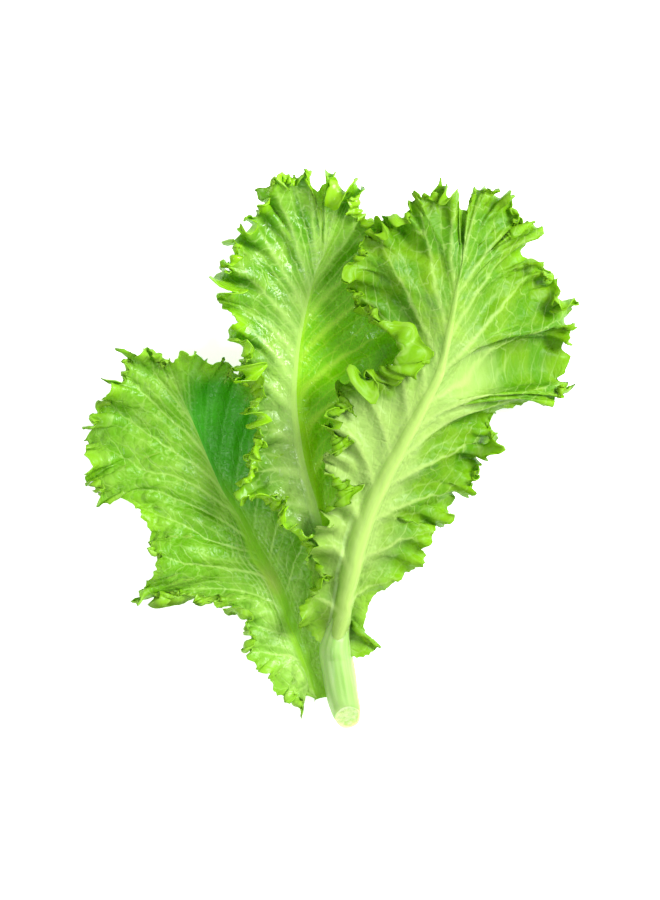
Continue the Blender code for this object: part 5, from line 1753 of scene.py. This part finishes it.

# %% [markdown]
# ## The rib
# A rib is pale and fibrous. Thin strands run along it, and fine lines follow it on the blade. A faint
# blush lies beside the left leaf's rib, and a pale stripe beside the right leaf's. On the left and middle
# leaves a strip beside the rib, on the side that turns away from the lamp, takes a painted shade. A single
# pale band would be quicker, but it would look like a ribbon that was glued on.

# %% Rib, strands and stripe
STRAND_PLACE = (4.0, 6.0, 5.0)  # how the strands' noise is stretched: across, along, and by half
STRANDS, STRAND_BASE, STRAND_PART = (0.35, 0.65), 0.6, 0.4  # their noise, the rib's share and theirs
LINE_APART, LINE_UNEVEN, LINE_EDGE = 1.7, 1.2, (0.3, 0.05)  # fine lines beside the rib
LINES = (("beside", 13.0, 3.0), ("run", 0.75, 0.3), ("run", 0.05, 0.3))  # beside is in millimetres
BLUSH = (("beside", 5.0, 1.0), ("run", 0.3, 0.36), ("run", 0.46, 0.38))
RIB, RIB_FADE = (("across", 0.95, 0.4), ("way", 0.35, 0.12)), 0.3  # and how long it takes to end
SHADE_BESIDE_RIB = (("beside", 8.0, 2.0, 0.0, 0.75), ("half", 0.3, -0.3), ("run", 0.8, 0.5))  # painted shade beside the rib, on the side away from the lamp
STRIPE_BESIDE, STRIPE_EDGE = 5.8, (1.0, 0.3, 0.0)  # millimetres from the rib, and its edge
STRIPE = (("half", -0.5, 0.5), ("run", 0.36, 0.24))
STRIPE_TONE, BLUSH_TONE = (0.66, 0.9, 0.36, 1.0), (0.5, 0.4, 0.16, 1.0)


def strands(blade):
    """Fibres along the rib, from 0 to 1."""
    tree = blade.tree
    place = tree.nodes.new("ShaderNodeCombineXYZ")
    for socket, key, stretch in zip(place.inputs, ("across", "run", "half"), STRAND_PLACE):
        feed(tree, socket, times(tree, blade.at[key], stretch))
    return ramp(tree, noise(tree, place.outputs[0], 1.0), *STRANDS)


def ribbed(blade, look, colour, tone, rib_tone):
    """The colour with its rib, the fine lines and the blush beside it, a painted shade beside it on the side
    away from the lamp, and its stripe.
    """
    tree, beside = blade.tree, blade.at["beside"]
    line = plus(tree, over(tree, beside, LINE_APART), times(tree, blade.at["patches"], LINE_UNEVEN))
    line = times(tree, ramp(tree, off_middle(tree, line), *LINE_EDGE), blade.mask(*LINES))
    colour = blend(tree, times(tree, line, look["strand_share"]), colour, tone)
    if look["shade"]:
        colour = blend(tree, blade.mask(*SHADE_BESIDE_RIB), colour, opaque(look["rib_shaded_side"]))
    end = ("run", look["rib_end"], look["rib_end"] - RIB_FADE)
    fibres = maths(tree, "MULTIPLY_ADD", strands(blade), STRAND_PART, STRAND_BASE)
    colour = blend(tree, times(tree, blade.mask(*RIB, end), fibres), colour, rib_tone)
    stripe = maths(tree, "ABSOLUTE", minus(tree, beside, STRIPE_BESIDE))
    stripe = ramp(tree, stripe, *STRIPE_EDGE, look["stripe_share"])
    colour = blend(tree, times(tree, stripe, blade.mask(*STRIPE)), colour, STRIPE_TONE)
    return blend(tree, times(tree, blade.mask(*BLUSH), look["blush"]), colour, BLUSH_TONE)


print("fine lines are", LINE_APART, "mm apart")

# %% [markdown]
# ## Wet skin
# The skin swells a little in each cell of the net, sinks at the branches and is uneven besides, and it
# is smooth on the rib. That is too fine to model, so it is a bump. The skin is wet and shiny, and light
# passes through it with the same colour.

# %% Skin of a leaf
SWELL_PART, UNEVEN_PART, BRANCH_PART = 0.5, 1.6, 0.3  # what each of them adds to the bump
UNEVEN_NOISE, SKIN_NOISE = 0.3, 0.25  # scales of the unevenness and of the gloss
SMOOTH_RIB = ("across", 0.9, 1.0, 0.25, 1.0)  # the bump is low on the rib
BUMP_DEPTH = 0.0008  # metres
GLOSS_FROM, GLOSS_LESS, GLOSS_MORE = (0.3, 0.7), 0.04, 0.12  # how far the roughness varies
WATER = 1.42  # bends light as wet plant tissue does
PASSING = 0.35  # share of the skin that passes light


def bumped(blade, relief):
    """A normal that follows the finest relief of the skin."""
    tree = blade.tree
    uneven = times(tree, noise(tree, blade.flat, UNEVEN_NOISE), UNEVEN_PART)
    height = plus(tree, times(tree, blade.net["Swell"], SWELL_PART), uneven)
    height = minus(tree, height, times(tree, blade.veins["Branches"], BRANCH_PART))
    bump = tree.nodes.new("ShaderNodeBump")
    bump.inputs["Strength"].default_value = relief
    bump.inputs["Distance"].default_value = BUMP_DEPTH
    tree.links.new(times(tree, height, blade.mask(SMOOTH_RIB)), bump.inputs["Height"])
    return bump.outputs["Normal"]


def skin(blade, look, colour):
    """A glossy shader mixed with one that passes light."""
    tree = blade.tree
    shader, normal = tree.nodes["Principled BSDF"], bumped(blade, look["relief"])
    low, high = look["gloss"] - GLOSS_LESS, look["gloss"] + GLOSS_MORE
    feed(tree, shader.inputs["Base Color"], colour)
    gloss = ramp(tree, noise(tree, blade.flat, SKIN_NOISE), *GLOSS_FROM, low, high)
    feed(tree, shader.inputs["Roughness"], gloss)
    shader.inputs["IOR"].default_value = WATER
    shader.inputs["Specular IOR Level"].default_value = look["shine"]
    tree.links.new(normal, shader.inputs["Normal"])
    through = tree.nodes.new("ShaderNodeBsdfTranslucent")
    feed(tree, through.inputs["Color"], colour)
    tree.links.new(normal, through.inputs["Normal"])
    mix = tree.nodes.new("ShaderNodeMixShader")
    mix.inputs[0].default_value = PASSING
    tree.links.new(shader.outputs[0], mix.inputs[1])
    tree.links.new(through.outputs[0], mix.inputs[2])
    tree.links.new(mix.outputs[0], tree.nodes["Material Output"].inputs["Surface"])


print("share of the skin that passes light:", PASSING)

# %% [markdown]
# ## The look of each leaf
# All three leaves have the same finish with numbers of their own. The left leaf has the deepest painted
# shade on its far half, the middle one is the wettest, and the right one shows its duller back. One look for
# all would be simpler, but in the photo the leaves can be told apart by their colour alone.

# %% Leaf finish
# Shares say how strongly a colour shows. Reaches are in millimetres, but base_reach is a share of the
# way to the margin, and rib_end, shade_from and shade_to are places on the rib. The shade colour, and
# the rib's colour on the side away from the lamp, are painted shade, and the middle leaf's cream is
# partly a painted highlight on the side of its rib that faces the lamp.
ALIKE = dict(rib_end=1.0, shade=None, gloss=0.3, vein_share=0.8, net_share=0.12, root_width=1.0,
             strand_share=0.5, wash_share=0.0, wash_reach=10.0, wash_far=0.0, shade_from=-0.5, shade_to=0.72,
             pocket=0.35, hollow_shade_share=0.4, minor_share=0.3, stripe_share=0.0, base_share=0.6,
             base_reach=0.65, relief=0.45, blush=0.0, shine=0.3, rib_shaded_side=(0.38, 0.64, 0.006),
             under=(0.36, 0.66, 0.06))
LOOKS = {
    "leaf_left": dict(deep=(0.16, 0.46, 0.006), mid=(0.3, 0.59, 0.05), lime=(0.3, 0.63, 0.018),
                      pale=(0.51, 0.78, 0.18), cream=(0.34, 0.71, 0.016), rib_end=0.75, gloss=0.32,
                      shine=0.45, shade=(0.038, 0.42, 0.001), shade_from=0.44, shade_to=0.9,
                      strand_share=0.8, blush=0.3, rib_shaded_side=(0.28, 0.64, 0.01), base_share=0.75,
                      base_reach=1.3),
    "leaf_middle": dict(deep=(0.12, 0.38, 0.006), mid=(0.3, 0.55, 0.055), lime=(0.36, 0.74, 0.008),
                        pale=(0.48, 0.72, 0.18), cream=(0.52, 0.78, 0.16), gloss=0.24, shine=0.5,
                        root_width=2.6, pocket=0.75, vein_share=0.9, minor_share=0.45,
                        shade=(0.22, 0.63, 0.0005), relief=0.4, wash_share=0.6, wash_reach=14.0,
                        rib_shaded_side=(0.32, 0.66, 0.006), under=(0.29, 0.6, 0.015)),
    "leaf_right": dict(deep=(0.1, 0.32, 0.003), mid=(0.21, 0.43, 0.01), lime=(0.25, 0.54, 0.006),
                       pale=(0.5, 0.7, 0.19), cream=(0.52, 0.74, 0.18), gloss=0.38, vein_share=0.75,
                       root_width=1.8, wash_share=0.7, wash_reach=15.0, wash_far=18.0, net_share=0.08,
                       pocket=0.65, relief=0.35, hollow_shade_share=0.2, stripe_share=0.5, minor_share=0.2,
                       base_share=0.2, under=(0.2, 0.52, 0.004)),
}


def leaf_finish(name, look):
    blade = Blade(name, look["root_width"])
    dark, light, vein, rib = tones(blade, look)
    colour = greens(blade, look, dark, light)
    colour = veined(blade, look, colour, vein)
    colour = washed(blade, look, colour, vein)
    skin(blade, look, ribbed(blade, look, colour, vein, rib))
    return blade.material


for name, look in LOOKS.items():
    finish = leaf_finish(name.replace("leaf_", "finish_"), {**ALIKE, **look})
    PIECES[name].data.materials.append(finish)
    print(finish.name, "has", len(finish.node_tree.nodes), "nodes")

# %% [markdown]
# ## The stem's finish
# The stem is denser than a leaf and lets light scatter inside it, and its cut face is wetter and paler
# than its skin. A picture of a cut stem could be laid on it, but noise round its own line gives the
# lengthwise streaks without a seam.

# %% Stem finish
STEM_DARK, STEM_PALE = (0.25, 0.46, 0.09), (0.36, 0.56, 0.17)
CUT_DARK, CUT_PALE, CUT_RIM = (0.42, 0.62, 0.15), (0.6, 0.76, 0.3), (0.62, 0.8, 0.36)
# Scale, detail and roughness of each noise, and the ramp that turns it into streaks or spots.
STREAKS, STREAK_EDGE = (3.2, 3.0), (0.3, 0.7)
LUMPS, LUMP_EDGE = (0.55, 3.0, 0.6), (0.35, 0.65)
PALE_END = (0.35, 0.0, 0.0, 0.5)  # the skin is paler towards the cut
RIM_EDGE = (0.9, 0.3, 0.0, 0.8)  # and so is the cut face towards its rim
CUT_LUMPY, CUT_STARTS = (0.0, 0.6, 0.15, 1.0), (0.0, 0.15)
CUT_GLOSS = (0.0, 0.5, 0.38, 0.16)  # roughness from the skin to the cut
STEM_RELIEF, STEM_DEPTH = 0.8, 0.001  # strength of the bump, and its depth in metres
INSIDE, INSIDE_DEPTH, INSIDE_TONE = 0.8, 0.006, (0.6, 1.0, 0.35)  # light scattered inside it


def stem_finish():
    material = bpy.data.materials.new("finish_stem")
    material.use_nodes = True
    tree = material.node_tree
    shader = tree.nodes["Principled BSDF"]
    turn, along, cut = measure(tree, "turn", "Vector"), measure(tree, "along"), measure(tree, "cut")
    lumps = noise(tree, measure(tree, "place", "Vector"), *LUMPS)
    streaks = ramp(tree, noise(tree, turn, *STREAKS), *STREAK_EDGE)
    outside = blend(tree, streaks, opaque(STEM_DARK), opaque(STEM_PALE))
    outside = blend(tree, ramp(tree, along, *PALE_END), outside, opaque(STEM_PALE))
    wound = blend(tree, ramp(tree, lumps, *LUMP_EDGE), opaque(CUT_DARK), opaque(CUT_PALE))
    wound = blend(tree, ramp(tree, cut, *RIM_EDGE), wound, opaque(CUT_RIM))
    bump = tree.nodes.new("ShaderNodeBump")
    bump.inputs["Strength"].default_value = STEM_RELIEF
    bump.inputs["Distance"].default_value = STEM_DEPTH
    feed(tree, bump.inputs["Height"], times(tree, lumps, ramp(tree, cut, *CUT_LUMPY)))
    tree.links.new(bump.outputs["Normal"], shader.inputs["Normal"])
    feed(tree, shader.inputs["Base Color"], blend(tree, ramp(tree, cut, *CUT_STARTS), outside, wound))
    feed(tree, shader.inputs["Roughness"], ramp(tree, cut, *CUT_GLOSS))
    shader.inputs["Subsurface Weight"].default_value = INSIDE
    shader.inputs["Subsurface Scale"].default_value = INSIDE_DEPTH
    shader.inputs["Subsurface Radius"].default_value = INSIDE_TONE
    return material


PIECES["stem"].data.materials.append(stem_finish())
for name, piece in PIECES.items():
    print(name, "finish:", piece.data.materials[0].name)
